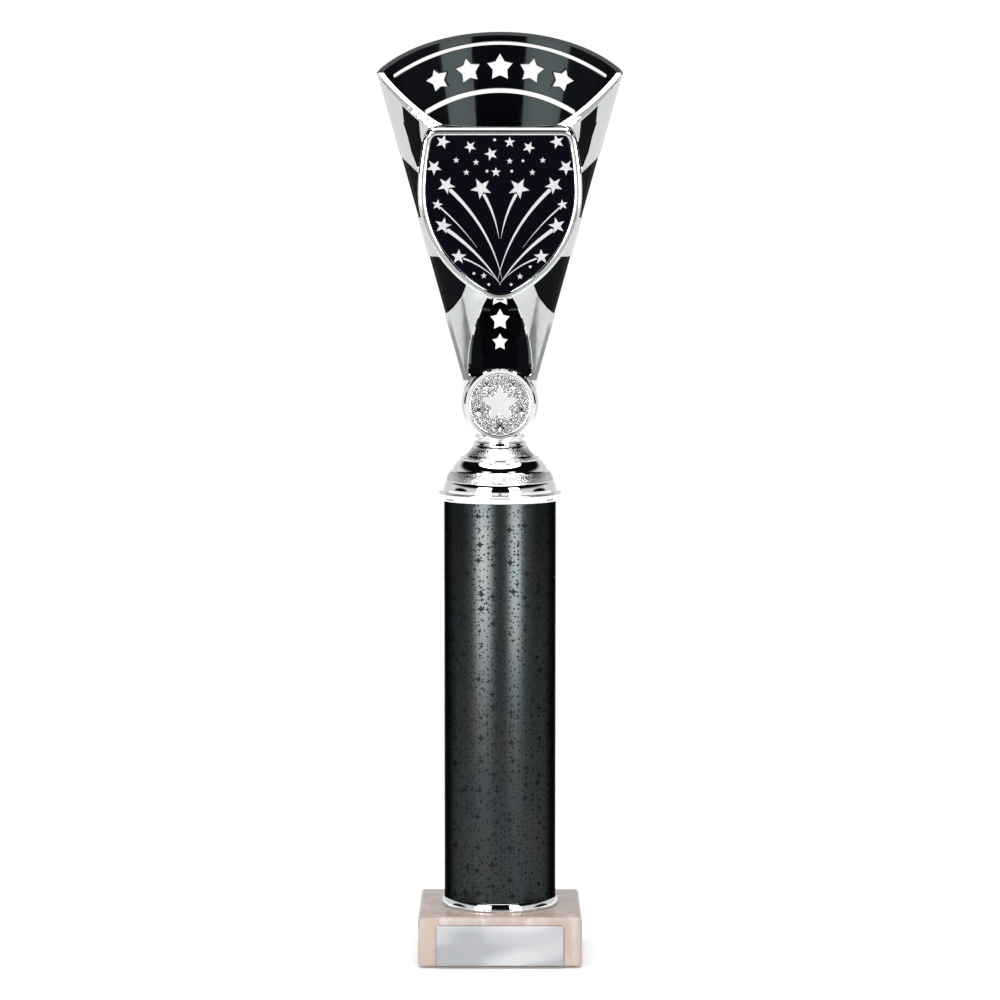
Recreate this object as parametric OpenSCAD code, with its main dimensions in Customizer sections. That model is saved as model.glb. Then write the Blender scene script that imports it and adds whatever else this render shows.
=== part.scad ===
// Column trophy: a fan-shaped cup with a shield, on a foil-wrapped tube and a marble block.
// Millimetres, +Z up, front towards -Y. The origin is the middle of the underside.
// A threaded rod clamps the block, the tube and the riser together and screws into the cup.

/* [Base] */
// Side of the square marble block
base_side = 65; // [58:0.5:90]
// Height of the marble block
base_h = 20; // [16:0.5:30]
// Radius along the block's edges
base_edge_r = 1.8; // [0.8:0.1:3]
// Thickness of the felt under the block
felt_t = 0.5; // [0.4:0.1:2]
// Distance from the block's side to the edge of the felt
felt_inset = 6; // [2:0.5:10]
// Width of the engraving plate
plate_w = 50; // [30:1:54]
// Height of the engraving plate
plate_h = 16; // [8:0.5:18]
// Thickness of the engraving plate
plate_t = 0.8; // [0.4:0.1:1.5]
// Thickness of each adhesive pad
tape_t = 0.3; // [0.2:0.05:0.6]

/* [Column] */
// Outer diameter of the wrapped tube
tube_d = 44.8; // [40:0.2:54]
// Length of the tube
tube_l = 164.5; // [100:0.5:320]
// Wall of the card tube
tube_wall = 2; // [1.5:0.1:3]
// Thickness of the foil around the tube
foil_t = 0.2; // [0.1:0.05:0.4]
// Depth that a bung reaches into the tube
bung_h = 10; // [6:0.5:20]
// Wall of a bung's skirt
bung_wall = 1.6; // [1.2:0.1:2.5]
// Thickness of the floor of each tube ring
ring_floor = 1; // [0.8:0.1:2]
// Height of the bottom ring
ring_h = 3.4; // [2.5:0.1:6]
// Wall of the bottom ring at its widest
ring_wall = 1; // [0.8:0.1:2]
// Height of the collar below the riser
collar_h = 3.4; // [2.5:0.1:6]
// How far the collar's rim stands out from the tube
collar_flare = 2; // [1:0.1:3]

/* [Riser] */
// Radius of the riser's foot
foot_r = 22.3; // [20:0.1:24]
// Height of the riser from the collar to its neck
riser_h = 20.4; // [18:0.2:30]
// Radius of the riser's neck
neck_r = 10.3; // [9.5:0.1:12]
// Wall of the riser
riser_wall = 1.8; // [1.4:0.1:2.4]

/* [Centre holder] */
// Diameter of the centre disc
disc_d = 25; // [25:0.5:27]
// Thickness of the centre disc
disc_t = 1.2; // [0.8:0.1:1.6]
// Width of the ring around the disc
drum_lip = 1.6; // [1.2:0.1:2.5]
// Depth of the drum from front to back
drum_l = 23; // [22:0.5:28]
// How much wider the drum is in its middle
drum_bulge = 0.9; // [0.4:0.1:1.5]
// Height of the drum's axis above the riser
drum_up = 15.2; // [14.8:0.1:20]
// Depth of the recess that the disc lies in, in front of the disc
disc_sink = 0.6; // [0.3:0.1:1]

/* [Cup] */
// Width of the cup at its bottom
cup_bottom_w = 30.2; // [28:0.2:36]
// Width of the cup between its top corners
cup_top_w = 98.6; // [90:0.5:120]
// Height of the top corners above the cup's bottom
cup_corner_h = 122.4; // [110:0.5:150]
// Depth of each wall's curve as a share of the half width
cup_bulge = 0.48; // [0.42:0.01:0.55]
// Thickness of the cup's wall
cup_wall = 2.2; // [1.8:0.1:2.6]
// Thickness of the cup's floor
cup_floor = 1.5; // [1.2:0.1:3]
// How far the back of the rim rises above the corners
rear_rise = 16.4; // [8:0.5:24]
// How far the front of the rim drops below the corners
front_drop = 29.6; // [20:0.5:36]
// Width of the flat along each side edge
side_flat = 1; // [0.5:0.1:2]
// Height of the pointed opening low in the front
arch_h = 39.2; // [30:0.2:42]
// Width of the pointed opening
arch_w = 25.5; // [20:0.5:26]
// Depth of the spigot under the cup
spigot_h = 6; // [4:0.5:8]
// How far the cup's bottom lies below the top of the drum
cup_sink = 6.1; // [5:0.1:7]

/* [Cup piercings] */
// Height of the fan's centre below the top corners
fan_down = 64.4; // [60:0.2:70]
// Radius of the upper slot about the fan's centre
upper_slot_r = 75.9; // [74:0.1:77]
// Width of the upper slot
upper_slot_w = 1.4; // [1:0.1:2]
// Half of the angle that the upper slot covers
upper_slot_half = 34.6; // [30:0.1:35]
// Radius of the lower slot about the fan's centre
lower_slot_r = 56.9; // [55:0.1:58]
// Width of the lower slot
lower_slot_w = 1.9; // [1:0.1:2.5]
// Half of the angle that the lower slot covers
lower_slot_half = 32; // [28:0.1:33]
// Radius of the row of stars about the fan's centre
star_row_r = 66.1; // [64:0.1:68]
// Angle from one star of the row to the next
star_step = 11.3; // [10.5:0.1:12.5]
// Tip radius of the middle star of the row
star_r = 5.6; // [4:0.1:6]
// How much smaller each star further out is
star_fade = 0.3; // [0:0.1:0.8]
// Heights of the three low stars above the cup's bottom
low_star_up = [33.6, 23.4, 14.5]; // [12:0.1:36]
// Tip radii of the three low stars
low_star_r = [5.2, 4.4, 3.5]; // [3:0.1:5.4]
// Inner radius of every star as a share of its tip radius
star_waist = 0.56; // [0.45:0.01:0.65]

/* [Shield] */
// Greatest half width of the shield
shield_hw = 32.3; // [30:0.1:33]
// Height of the shield from tip to top
shield_h = 68.6; // [64:0.2:72]
// Height of the shield's tip above the cup's bottom
shield_up = 32.9; // [31:0.1:36]
// Width of the frame around the label
frame_w = 2.9; // [2:0.1:4]
// Height of the frame in front of the label's seat
frame_h = 1.8; // [1.2:0.1:3]
// Thickness of the plate behind the label
shield_plate_t = 1.6; // [1.2:0.1:2.5]
// Space between that plate and the cup at the middle
shield_gap = 1; // [0.6:0.1:2]
// Wall of the shield's skirt
skirt_wall = 1.6; // [1.2:0.1:2.4]
// Thickness of the printed label
label_t = 0.5; // [0.3:0.1:1]
// Diameter of the two pegs
peg_d = 4; // [3:0.2:5]
// Heights of the pegs above the shield's tip
peg_heights = [19, 47]; // [14:0.5:56]
// Thickness of the ring that grips each peg
clip_t = 0.5; // [0.3:0.1:0.8]

/* [Rod and fixings] */
// Diameter of the threaded rod
rod_d = 6; // [5:0.5:8]
// Room around the rod in the parts that it passes through
rod_clear = 0.6; // [0.4:0.1:1]
// Thickness of the nut
nut_h = 5; // [4:0.2:6.5]
// Size of the nut across its flats
nut_af = 10; // [8:0.5:13]
// Diameter of the washer
washer_d = 18; // [14:0.5:24]
// Thickness of the washer
washer_t = 1.6; // [1:0.1:2.5]
// Thickness of the split lock washer
lock_t = 1.6; // [1:0.1:2.5]
// Length of the brass sleeve in the cup's foot
insert_h = 7; // [5:0.5:7.5]
// Wall of that sleeve
insert_wall = 1.5; // [1:0.1:2]
// How far the rod stands past the nut
rod_end = 1; // [0.4:0.1:1.2]
// Room between parts that slide into each other
fit = 0.15; // [0.1:0.05:0.25]

/* [Hidden] */
$fn = 96;
far = 300;

// Levels, from the surface that the trophy stands on
base_top = felt_t + base_h;
tube_z = base_top + ring_floor;
tube_top = tube_z + tube_l;
riser_z = tube_top + ring_floor;
neck_z = riser_z + riser_h;
drum_z = neck_z + drum_up;
drum_r = disc_d / 2 + fit + drum_lip;
saddle_r = drum_r + drum_bulge;
cup_z = drum_z + saddle_r - cup_sink;
corner_z = cup_z + cup_corner_h;

// The rod's hole, its well under the block and the thread's ends
rod_hole_d = rod_d + rod_clear;
well_room = 2;
well_d = washer_d + 2 * well_room;
washer_z = felt_t + rod_end + 0.4 + nut_h + lock_t;
lock_z = washer_z - lock_t;
nut_z = lock_z - nut_h;
well_top = washer_z + washer_t;
insert_d = rod_d + 2 * insert_wall;
insert_z = cup_z + cup_floor - insert_h;
rod_z = nut_z - rod_end;
rod_top = insert_z + insert_h - 1;

// Middle of the engraving plate, which stands on the front face above its rounded edge
plate_mid_z = felt_t + base_edge_r / 2 + plate_h / 2;

// Tube sizes that the foil, the bungs and the rings share
core_r = tube_d / 2 - foil_t;
bore_r = core_r - tube_wall;

// Back of the recess that the disc and its pad lie in
disc_back_y = disc_t + tape_t + disc_sink - drum_l / 2;

// Cup: each wall is part of a round cone, and the two cones share their apex
side_slope = (cup_top_w - cup_bottom_w) / 2 / cup_corner_h;
apex_z = cup_z - cup_bottom_w / 2 / side_slope;
side_angle = atan(side_slope);
wall_angle = atan(cup_bulge * side_slope);
cone_tilt = atan((cos(wall_angle) - cos(side_angle)) / sin(wall_angle));
cone_half_angle = cone_tilt + wall_angle;
rear_top_z = corner_z + rear_rise;
rear_slope = rear_rise / ((rear_top_z - apex_z) * tan(wall_angle));
front_low_z = corner_z - front_drop;
front_slope = front_drop / ((front_low_z - apex_z) * tan(wall_angle));
fan_z = corner_z - fan_down;
saddle_hw = cup_bottom_w / 2 - 0.5;
spigot_hw = saddle_hw - 2;
// Half width of the cup where it passes the top of the drum
drum_top_hw = (drum_z + saddle_r - apex_z) * side_slope;

// Shield: its own plane follows the front wall, with x across and y up the slope
shield_tip_z = cup_z + shield_up;
label_seat = shield_gap + shield_plate_t;

function bezier(p, steps = 10) =
    [for (i = [1 : steps]) let (t = i / steps, u = 1 - t)
        u * u * u * p[0] + 3 * u * u * t * p[1] + 3 * u * t * t * p[2] + t * t * t * p[3]];

// Points from a to b along an arc that rises by sag to the right of the way from a to b
function arc(a, b, sag, steps = 6) =
    let (chord = norm(b - a), r = (chord * chord / 4 + sag * sag) / (2 * sag),
         mid = (a + b) / 2, side = [b[1] - a[1], a[0] - b[0]] / chord,
         centre = mid - side * (r - sag), half = asin(chord / 2 / r),
         start = atan2(a[1] - centre[1], a[0] - centre[0]))
    [for (i = [0 : steps]) let (q = start + 2 * half * i / steps) centre + r * [cos(q), sin(q)]];

function star(r, waist, turn = 90) =
    [for (i = [0 : 9]) let (q = turn + 36 * i, d = i % 2 == 0 ? r : r * waist) d * [cos(q), sin(q)]];

// Right half of the shield's edge, from the tip up to the middle of the top
function shield_half() = concat(
    [[0, 0]],
    bezier([[0, 0], [3, 0], [5, 0.8], [7.5, 2.3]], 4),
    bezier([[7.5, 2.3], [21, 10], [shield_hw, 25], [shield_hw, 43]], 16),
    bezier([[shield_hw, 43], [shield_hw, 51], [31.2, 57], [30.4, 62]], 6),
    bezier([[30.4, 62], [29.6, 66.5], [28, shield_h], [24, shield_h]], 6));

function mirrored(p) = concat(p, [for (i = [len(p) - 1 : -1 : 1]) [-p[i][0], p[i][1]]]);

// The outline moved inwards by d along each point's normal
function inset(p, d) = let (n = len(p))
    [for (i = [0 : n - 1]) let (a = p[(i + n - 1) % n], b = p[(i + 1) % n], s = (b - a) / norm(b - a))
        p[i] + d * [-s[1], s[0]]];

module bore(d, z, h) { translate([0, 0, z]) cylinder(h = h, d = d); }

// Stands a shape drawn in x and z on its edge and extrudes it from y0 back to y1
module along_y(y0, y1) {
    translate([0, y1, 0]) rotate([90, 0, 0]) linear_extrude(y1 - y0) children();
}

// One wall's cone, moved inwards by a thickness; toward is 1 for the front wall and -1 for the rear
module wall_cone(toward, thickness) {
    lift = thickness / sin(cone_half_angle);
    translate([0, 0, apex_z]) rotate([-toward * cone_tilt, 0, 0]) translate([0, 0, lift + 20])
        cylinder(h = far, r1 = 20 * tan(cone_half_angle), r2 = (20 + far) * tan(cone_half_angle));
}

// Lens-shaped block, as wide as the saddle, that the cup's foot stands in
module lens(hw, z, h) {
    depth = hw * cup_bulge;
    r = (hw * hw + depth * depth) / (2 * depth);
    translate([0, 0, z]) linear_extrude(h) intersection() {
        translate([0, r - depth]) circle(r);
        translate([0, depth - r]) circle(r);
    }
}

// A slot with round ends, bent about the origin through half an angle to each side of +Y
function bent_slot(r, w, half, steps = 28) =
    let (way = function (q) [sin(q), cos(q)],
         cap = function (q, from) [for (a = [45, 90, 135])
             r * way(q) + w / 2 * way(q + from + a)])
    concat([for (i = [0 : steps]) (r + w / 2) * way(half * (2 * i / steps - 1))],
           cap(half, 0),
           [for (i = [0 : steps]) (r - w / 2) * way(half * (1 - 2 * i / steps))],
           cap(-half, 180));

module piercings() {
    translate([0, fan_z]) {
        polygon(bent_slot(upper_slot_r, upper_slot_w, upper_slot_half));
        polygon(bent_slot(lower_slot_r, lower_slot_w, lower_slot_half));
        for (i = [-2 : 2])
            rotate(-i * star_step) translate([0, star_row_r])
                polygon(star(star_r - abs(i) * star_fade, star_waist));
    }
    for (i = [0 : 2])
        translate([0, cup_z + low_star_up[i]]) polygon(star(low_star_r[i], star_waist));
}

module arch() {
    hw = arch_w / 2;
    foot = 2.5;
    rise = arch_h - foot - 1.3;
    r = (rise * rise + hw * hw) / (2 * hw);
    translate([0, cup_z + cup_floor]) {
        translate([0, foot + 1.3]) intersection() {
            translate([hw - r, 0]) circle(r, $fn = 200);
            translate([r - hw, 0]) circle(r, $fn = 200);
            translate([-hw, 0]) square([arch_w, arch_h]);
        }
        translate([-hw, foot]) square([arch_w, 1.4]);
        translate([foot - hw, 0]) square([arch_w - 2 * foot, foot + 1]);
        for (side = [-1, 1]) translate([side * (hw - foot), foot]) circle(foot, $fn = 32);
    }
}

// Everything under the rim on one side, where it falls to the front or rises to the back
module under_rim(toward) {
    reach = 80;
    rim_z = toward > 0 ? corner_z - reach * front_slope : corner_z + reach * rear_slope;
    rotate([90, 0, 90]) translate([0, 0, -far / 2]) linear_extrude(far)
        polygon([[0, cup_z], [-toward * reach, cup_z], [-toward * reach, rim_z], [0, corner_z]]);
}

// The front or the rear wall with its half of the floor
module cup_half(toward) {
    difference() {
        intersection() {
            wall_cone(toward, 0);
            under_rim(toward);
            side_flats();
        }
        intersection() {
            wall_cone(toward, cup_wall);
            translate([-far / 2, -far / 2, cup_z + cup_floor]) cube(far);
        }
    }
}

module side_flats() {
    top = cup_top_w / 2 - side_flat / 2 + 40 * side_slope;
    bottom = cup_bottom_w / 2 - side_flat / 2;
    along_y(-60, 60) polygon([[-bottom, cup_z], [bottom, cup_z], [top, corner_z + 40],
                              [-top, corner_z + 40]]);
}

// Moves a shape drawn in the shield's plane onto the front wall, at a height above the wall
module on_shield(up, h) {
    reach = shield_tip_z - apex_z;
    translate([0, -reach * tan(wall_angle), shield_tip_z]) rotate([90 + wall_angle, 0, 0])
        translate([0, 0, up]) linear_extrude(h) children();
}

module rounded_rectangle(w, h, r) {
    square([w - 2 * r, h], center = true);
    square([w, h - 2 * r], center = true);
    for (x = [-1, 1], y = [-1, 1]) translate([x * (w / 2 - r), y * (h / 2 - r)]) circle(r);
}

module rounded_block(w, d, h, r) {
    intersection() {
        translate([0, 0, -h / 2]) linear_extrude(h) rounded_rectangle(w, d, r);
        rotate([90, 0, 0]) translate([0, 0, -d / 2]) linear_extrude(d) rounded_rectangle(w, h, r);
        rotate([90, 0, 90]) translate([0, 0, -w / 2]) linear_extrude(w) rounded_rectangle(d, h, r);
    }
}

module marble_base() {
    color("mistyrose") difference() {
        translate([0, 0, felt_t + base_h / 2])
            rounded_block(base_side, base_side, base_h, base_edge_r);
        bore(rod_hole_d, 0, base_top + 1);
        bore(well_d, 0, well_top);
    }
}

module base_felt() {
    side = base_side - 2 * felt_inset;
    color("darkgreen") translate([-side / 2, -side / 2, 0]) cube([side, side, felt_t]);
}

// A slab that stands on the front face of the block
module front_slab(w, h, t, gap) {
    translate([-w / 2, -base_side / 2 - gap - t, plate_mid_z - h / 2]) cube([w, t, h]);
}

module engraving_plate() {
    color("silver") front_slab(plate_w, plate_h, plate_t, tape_t);
}

module plate_tape() {
    color("white") front_slab(plate_w - 4, plate_h - 2 * base_edge_r, tape_t, 0);
}

module bottom_ring() {
    r = tube_d / 2;
    z = base_top;
    color("gainsboro") rotate_extrude() polygon(concat(
        [[rod_hole_d / 2, z], [r - 0.4, z]],
        arc([r - 0.4, z], [r + fit + ring_wall - 0.7, z + ring_h], 0.9, 8),
        [[r + fit, z + ring_h], [r + fit, z + ring_floor], [rod_hole_d / 2, z + ring_floor]]));
}

module tube_ring(r_out, r_in) {
    translate([0, 0, tube_z]) difference() {
        cylinder(h = tube_l, r = r_out);
        translate([0, 0, -1]) cylinder(h = tube_l + 2, r = r_in);
    }
}

module tube_core() { color("burlywood") tube_ring(core_r, bore_r); }

module tube_foil() { color("black") tube_ring(tube_d / 2, core_r); }

// A cap that fills the end of the tube and centres the rod; up is 1 where its floor is on top
module bung(z, up) {
    r = bore_r - fit;
    translate([0, 0, z]) rotate([up > 0 ? 180 : 0, 0, 0]) rotate_extrude() difference() {
        translate([rod_hole_d / 2, 0]) square([r - rod_hole_d / 2, bung_h]);
        translate([rod_hole_d / 2 + 3, bung_wall])
            square([r - bung_wall - rod_hole_d / 2 - 3, bung_h]);
    }
}

module lower_bung() { color("dimgray") bung(tube_z, -1); }

module upper_bung() { color("dimgray") bung(tube_top, 1); }

module top_collar() {
    r = tube_d / 2 + fit;
    z = riser_z - collar_h;
    color("gainsboro") rotate_extrude() polygon([
        [r, z], [r + 0.3, z], [r + 0.9, z + 0.8], [r + 1, z + 1.4],
        [tube_d / 2 + collar_flare, riser_z - 0.5], [tube_d / 2 + collar_flare, riser_z - 0.2],
        [tube_d / 2 + collar_flare - 0.3, riser_z], [rod_hole_d / 2, riser_z],
        [rod_hole_d / 2, riser_z - ring_floor], [r, riser_z - ring_floor]]);
}

// Outer edge of the riser from its foot to its neck: two plain bands, two patterned ones and a bead
// (its heights are drawn for a riser 20.4 mm tall)
function riser_edge() = let (k = riser_h / 20.4, f = foot_r, n = neck_r) concat(
    arc([f, 1.4 * k], [f - 0.9, 4.3 * k], 0.2, 4),
    [[f - 1.2, 4.5 * k], [f - 1.2, 4.8 * k]],
    arc([f - 0.9, 4.9 * k], [f - 2.6, 8.4 * k], 0.25, 5),
    [[f - 3, 8.6 * k]],
    arc([f - 3.4, 8.8 * k], [f - 6.9, 13.2 * k], 0.5, 8),
    [[f - 6.5, 13.4 * k], [f - 6.5, 14 * k], [f - 7.6, 14.2 * k], [f - 8, 14.4 * k],
     [f - 9.2, 15.3 * k], [f - 10.2, 16.4 * k], [n + 0.6, 18.2 * k], [n + 0.4, 18.7 * k],
     [n, 19 * k], [n, riser_h - 0.6], [n - 0.6, riser_h]]);

module riser_dome() {
    hub_r = rod_hole_d / 2 + 2.2;
    color("gainsboro") translate([0, 0, riser_z]) difference() {
        rotate_extrude() polygon(concat([[0, 0], [foot_r, 0]], riser_edge(), [[0, riser_h]]));
        rotate_extrude() polygon(concat([[hub_r, -1], [foot_r - riser_wall, -1]],
            [[foot_r - riser_wall, 3], [foot_r - 2.6 - riser_wall, 7.6],
             [foot_r - 7.6 - riser_wall, 12.6], [hub_r + 1, riser_h - 4], [hub_r, riser_h - 4]]));
        bore(rod_hole_d, -1, riser_h + 2);
    }
}

// The drum lies along Y. Its front holds the disc, its saddle takes the cup's foot.
module centre_holder() {
    half = drum_l / 2;
    seat = disc_d / 2 + fit;
    neck = neck_r - 1.5;
    color("gainsboro") difference() {
        union() {
            translate([0, 0, drum_z]) rotate([90, 0, 0]) rotate_extrude()
                polygon(concat([[0, -half], [drum_r - 0.6, -half]],
                    arc([drum_r, 0.6 - half], [drum_r, half - 0.6], drum_bulge, 14),
                    [[drum_r - 0.6, half], [0, half]]));
            translate([0, 0, neck_z]) rotate_extrude() polygon([
                [0, 0], [neck, 0], [neck, 1.2], [neck + 0.9, 1.5], [neck + 0.9, 2.4], [neck, 2.7],
                [neck - 0.2, drum_up], [0, drum_up]]);
            lens(saddle_hw, drum_z, cup_z - drum_z);
        }
        translate([0, disc_back_y, drum_z]) rotate([90, 0, 0]) cylinder(h = half, r = seat);
        translate([0, half - 0.8, drum_z]) rotate([-90, 0, 0]) cylinder(h = half, r = seat - 1);
        lens(spigot_hw + fit, cup_z - spigot_h - 0.3, spigot_h + 1);
        lens(drum_top_hw + fit, cup_z, saddle_r);
        bore(rod_hole_d, neck_z - 1, far);
        bore(insert_d + 2 * fit, insert_z - 1, far);
    }
}

module centre_disc() {
    r = disc_d / 2;
    color("silver") translate([0, disc_back_y - tape_t, drum_z]) rotate([90, 0, 0]) {
        cylinder(h = disc_t - 0.5, r = r);
        translate([0, 0, disc_t - 0.6]) {
            linear_extrude(0.6) polygon(star(8, 0.42));
            difference() {
                cylinder(h = 0.6, r = r);
                translate([0, 0, -1]) cylinder(h = 2, r = r - 1);
            }
        }
    }
}

module disc_pad() {
    color("white") translate([0, disc_back_y, drum_z]) rotate([90, 0, 0])
        cylinder(h = tape_t, r = disc_d / 2 - 1);
}

module cup_shell() {
    color("gray") difference() {
        union() {
            cup_half(1);
            cup_half(-1);
            lens(spigot_hw, cup_z - spigot_h, spigot_h + 0.5);
        }
        along_y(0, 60) piercings();
        along_y(-60, 0) arch();
        for (h = peg_heights) on_shield(-8, 16) translate([0, h]) circle(d = peg_d + 2 * fit);
        bore(insert_d, insert_z - 5, far);
    }
}

// Brass sleeve moulded into the cup's foot, which the rod screws into
module cup_insert() {
    color("goldenrod") difference() {
        bore(insert_d, insert_z, insert_h);
        bore(rod_d, insert_z - 1, insert_h + 2);
    }
}

module shield_frame() {
    outline = mirrored(shield_half());
    seat = inset(outline, frame_w);
    color("gainsboro") difference() {
        union() {
            on_shield(-16, 16 + label_seat + 0.6) polygon(outline);
            on_shield(label_seat, frame_h) polygon(inset(outline, 0.8));
        }
        on_shield(label_seat, frame_h + 1) polygon(seat);
        on_shield(-17, 17 + shield_gap) polygon(inset(outline, skirt_wall));
        wall_cone(1, 0);
    }
    for (h = peg_heights) color("gainsboro")
        on_shield(-cup_wall - 2, cup_wall + 2 + label_seat - 0.5) translate([0, h]) circle(d = peg_d);
}

module shield_label() {
    outline = inset(mirrored(shield_half()), frame_w + fit);
    color("midnightblue") on_shield(label_seat + tape_t, label_t) polygon(outline);
}

module label_tape() {
    outline = inset(mirrored(shield_half()), frame_w + fit + 1);
    color("white") on_shield(label_seat, tape_t) polygon(outline);
}

// Push-on rings that grip the ends of the pegs inside the cup
module shield_clips() {
    color("gray") for (h = peg_heights) on_shield(-cup_wall - clip_t - 0.25, clip_t)
        translate([0, h]) difference() {
            circle(d = peg_d + 4);
            circle(d = peg_d);
        }
}

module tie_rod() {
    chamfer = 0.6;
    r = rod_d / 2;
    color("lightgray") rotate_extrude() polygon([
        [0, rod_z], [r - chamfer, rod_z], [r, rod_z + chamfer], [r, rod_top - chamfer],
        [r - chamfer, rod_top], [0, rod_top]]);
}

module base_nut() {
    color("silver") difference() {
        translate([0, 0, nut_z]) cylinder(h = nut_h, d = nut_af / cos(30), $fn = 6);
        bore(rod_d, nut_z - 1, nut_h + 2);
    }
}

module lock_washer() {
    color("dimgray") difference() {
        bore(rod_d + 5, lock_z, lock_t);
        bore(rod_d + fit, lock_z - 1, lock_t + 2);
        translate([0, -0.4, lock_z - 1]) cube([rod_d, 0.8, lock_t + 2]);
    }
}

module base_washer() {
    color("silver") difference() {
        bore(washer_d, washer_z, washer_t);
        bore(rod_d + 2 * fit, washer_z - 1, washer_t + 2);
    }
}

marble_base();
base_felt();
engraving_plate();
plate_tape();
bottom_ring();
tube_core();
tube_foil();
lower_bung();
upper_bung();
top_collar();
riser_dome();
centre_holder();
centre_disc();
disc_pad();
cup_shell();
cup_insert();
shield_frame();
shield_label();
label_tape();
shield_clips();
tie_rod();
base_nut();
lock_washer();
base_washer();
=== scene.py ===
from math import asin, atan, atan2, cos, degrees, hypot, pi, radians, sin, sqrt, tan

import bmesh
import bpy
from bpy.props import FloatProperty, FloatVectorProperty, IntProperty, PointerProperty
from mathutils import Matrix, Vector, noise


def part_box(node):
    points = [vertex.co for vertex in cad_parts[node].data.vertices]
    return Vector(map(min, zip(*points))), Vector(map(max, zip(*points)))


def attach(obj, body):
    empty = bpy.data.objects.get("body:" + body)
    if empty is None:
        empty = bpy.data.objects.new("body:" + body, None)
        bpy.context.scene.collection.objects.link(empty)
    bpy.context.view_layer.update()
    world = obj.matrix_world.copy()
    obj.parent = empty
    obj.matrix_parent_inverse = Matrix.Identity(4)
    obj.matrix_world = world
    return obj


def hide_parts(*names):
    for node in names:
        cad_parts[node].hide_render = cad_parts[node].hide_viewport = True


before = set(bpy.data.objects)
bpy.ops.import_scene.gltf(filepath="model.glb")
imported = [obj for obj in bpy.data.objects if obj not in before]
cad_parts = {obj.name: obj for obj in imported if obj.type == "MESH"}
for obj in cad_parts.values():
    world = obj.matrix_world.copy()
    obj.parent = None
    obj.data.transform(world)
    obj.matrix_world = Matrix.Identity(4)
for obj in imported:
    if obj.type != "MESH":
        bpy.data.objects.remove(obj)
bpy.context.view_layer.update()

bl_info = {
    "name": "Column trophy",
    "version": (1, 0, 0),
    "blender": (4, 5, 0),
    "location": "3D View > Sidebar > Trophy",
    "description": "Builds a fan-shaped cup with a shield on a foil-wrapped tube and a marble block",
    "category": "Add Mesh",
}

MM = 0.001
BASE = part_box("marble_base")
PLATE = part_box("engraving_plate")
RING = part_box("bottom_ring")
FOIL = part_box("tube_foil")
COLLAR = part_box("top_collar")
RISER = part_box("riser_dome")
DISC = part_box("centre_disc")
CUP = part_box("cup_shell")
# Which side of the cup's wall a face belongs to
OUTSIDE, INSIDE, EDGE = 0, 1, 2
# Heights of the shield's two pegs above its tip, in mm
PEG_HEIGHTS = (19, 47)


# ---------------------------------------------------------------- settings

def length(name, description, default):
    return FloatProperty(name=name, description=description, default=default, unit="LENGTH",
                         precision=5)


def colour(name, description, default):
    return FloatVectorProperty(name=name, description=description, default=default,
                               subtype="COLOR", size=3, min=0, max=1)


class CupSettings(bpy.types.PropertyGroup):
    bottom_w: length("Bottom width", "Width of the cup where it stands on the drum", 0.0302)
    top_w: length("Top width", "Width between the cup's top corners", 0.0986)
    spigot_h: length("Spigot", "Depth of the spigot under the cup", 0.006)
    rear_rise: length("Rear rise", "How far the back of the rim rises above the corners", 0.0164)
    front_drop: length("Front drop", "How far the front of the rim drops below the corners", 0.0296)
    bulge: FloatProperty(name="Bulge", description="Depth of each wall's curve per half width",
                         default=0.48, min=0.4, max=0.6)
    wall: length("Wall", "Thickness of the cup's wall", 0.0022)
    side_cut: length("Side cut", "How much the meeting edge of the walls is cut back", 0.0005)
    side_strip: length("Side strip", "Width of the flat strip along each side edge", 0.0016)
    sink: length("Lacquer depth", "How far the lacquered fields lie below the plating", 0.0003)
    edge: length("Edge", "Width of the chamfer along rims, holes and fields", 0.0002)
    strips: IntProperty(name="Strips", description="Flat strips that make up each curved wall",
                        default=84, min=20, max=160)
    silver: colour("Plating", "Colour of the silver plating", (0.62, 0.64, 0.63))
    lacquer: colour("Lacquer", "Colour of the black lacquer", (0.001, 0.001, 0.0016))


class ShieldSettings(bpy.types.PropertyGroup):
    up: length("Height above the cup", "Height of the shield's tip above the cup's bottom", 0.0329)
    frame_w: length("Frame width", "Width of the frame around the label", 0.0029)
    seat: length("Label seat", "Height of the label's seat above the cup's wall", 0.0026)
    label_t: length("Label", "Thickness of the label and its tape", 0.0008)
    frame_h: length("Frame height", "Height of the frame above the label's seat", 0.0018)
    print_t: length("Print", "Thickness of the silver print", 0.00005)
    label: colour("Label colour", "Colour of the printed field", (0.0006, 0.0006, 0.0020))
    print: colour("Print colour", "Colour of the stars and trails", (0.27, 0.27, 0.275))


class ColumnSettings(bpy.types.PropertyGroup):
    foil: colour("Foil", "Colour of the foil", (0.033, 0.0345, 0.034))
    pattern: colour("Foil pattern", "Colour of the foil's stars and dots", (0.012, 0.012, 0.013))
    chrome: colour("Chrome", "Colour of the bright chrome", (0.86, 0.865, 0.87))
    marble: colour("Marble", "Main colour of the marble", (0.350, 0.292, 0.258))
    vein: colour("Marble veins", "Colour of the paler streaks", (0.415, 0.365, 0.332))
    turns: IntProperty(name="Turning steps", description="Steps around each turned piece",
                       default=144, min=32, max=360)


class StageSettings(bpy.types.PropertyGroup):
    distance: length("Camera distance", "Distance from the camera to the point it aims at", 1.76)
    aim: length("Aim height", "Height of the point the camera aims at", 0.1836)
    elevation: FloatProperty(name="Camera elevation", description="Angle above the horizon",
                             default=radians(5.19), subtype="ANGLE")
    lens: FloatProperty(name="Lens", description="Focal length in millimetres", default=158.4)


def settings(group):
    """The settings named cup, shield, column or stage."""
    return getattr(bpy.context.scene, "trophy_" + group)


# ---------------------------------------------------------------- mesh helpers

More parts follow.
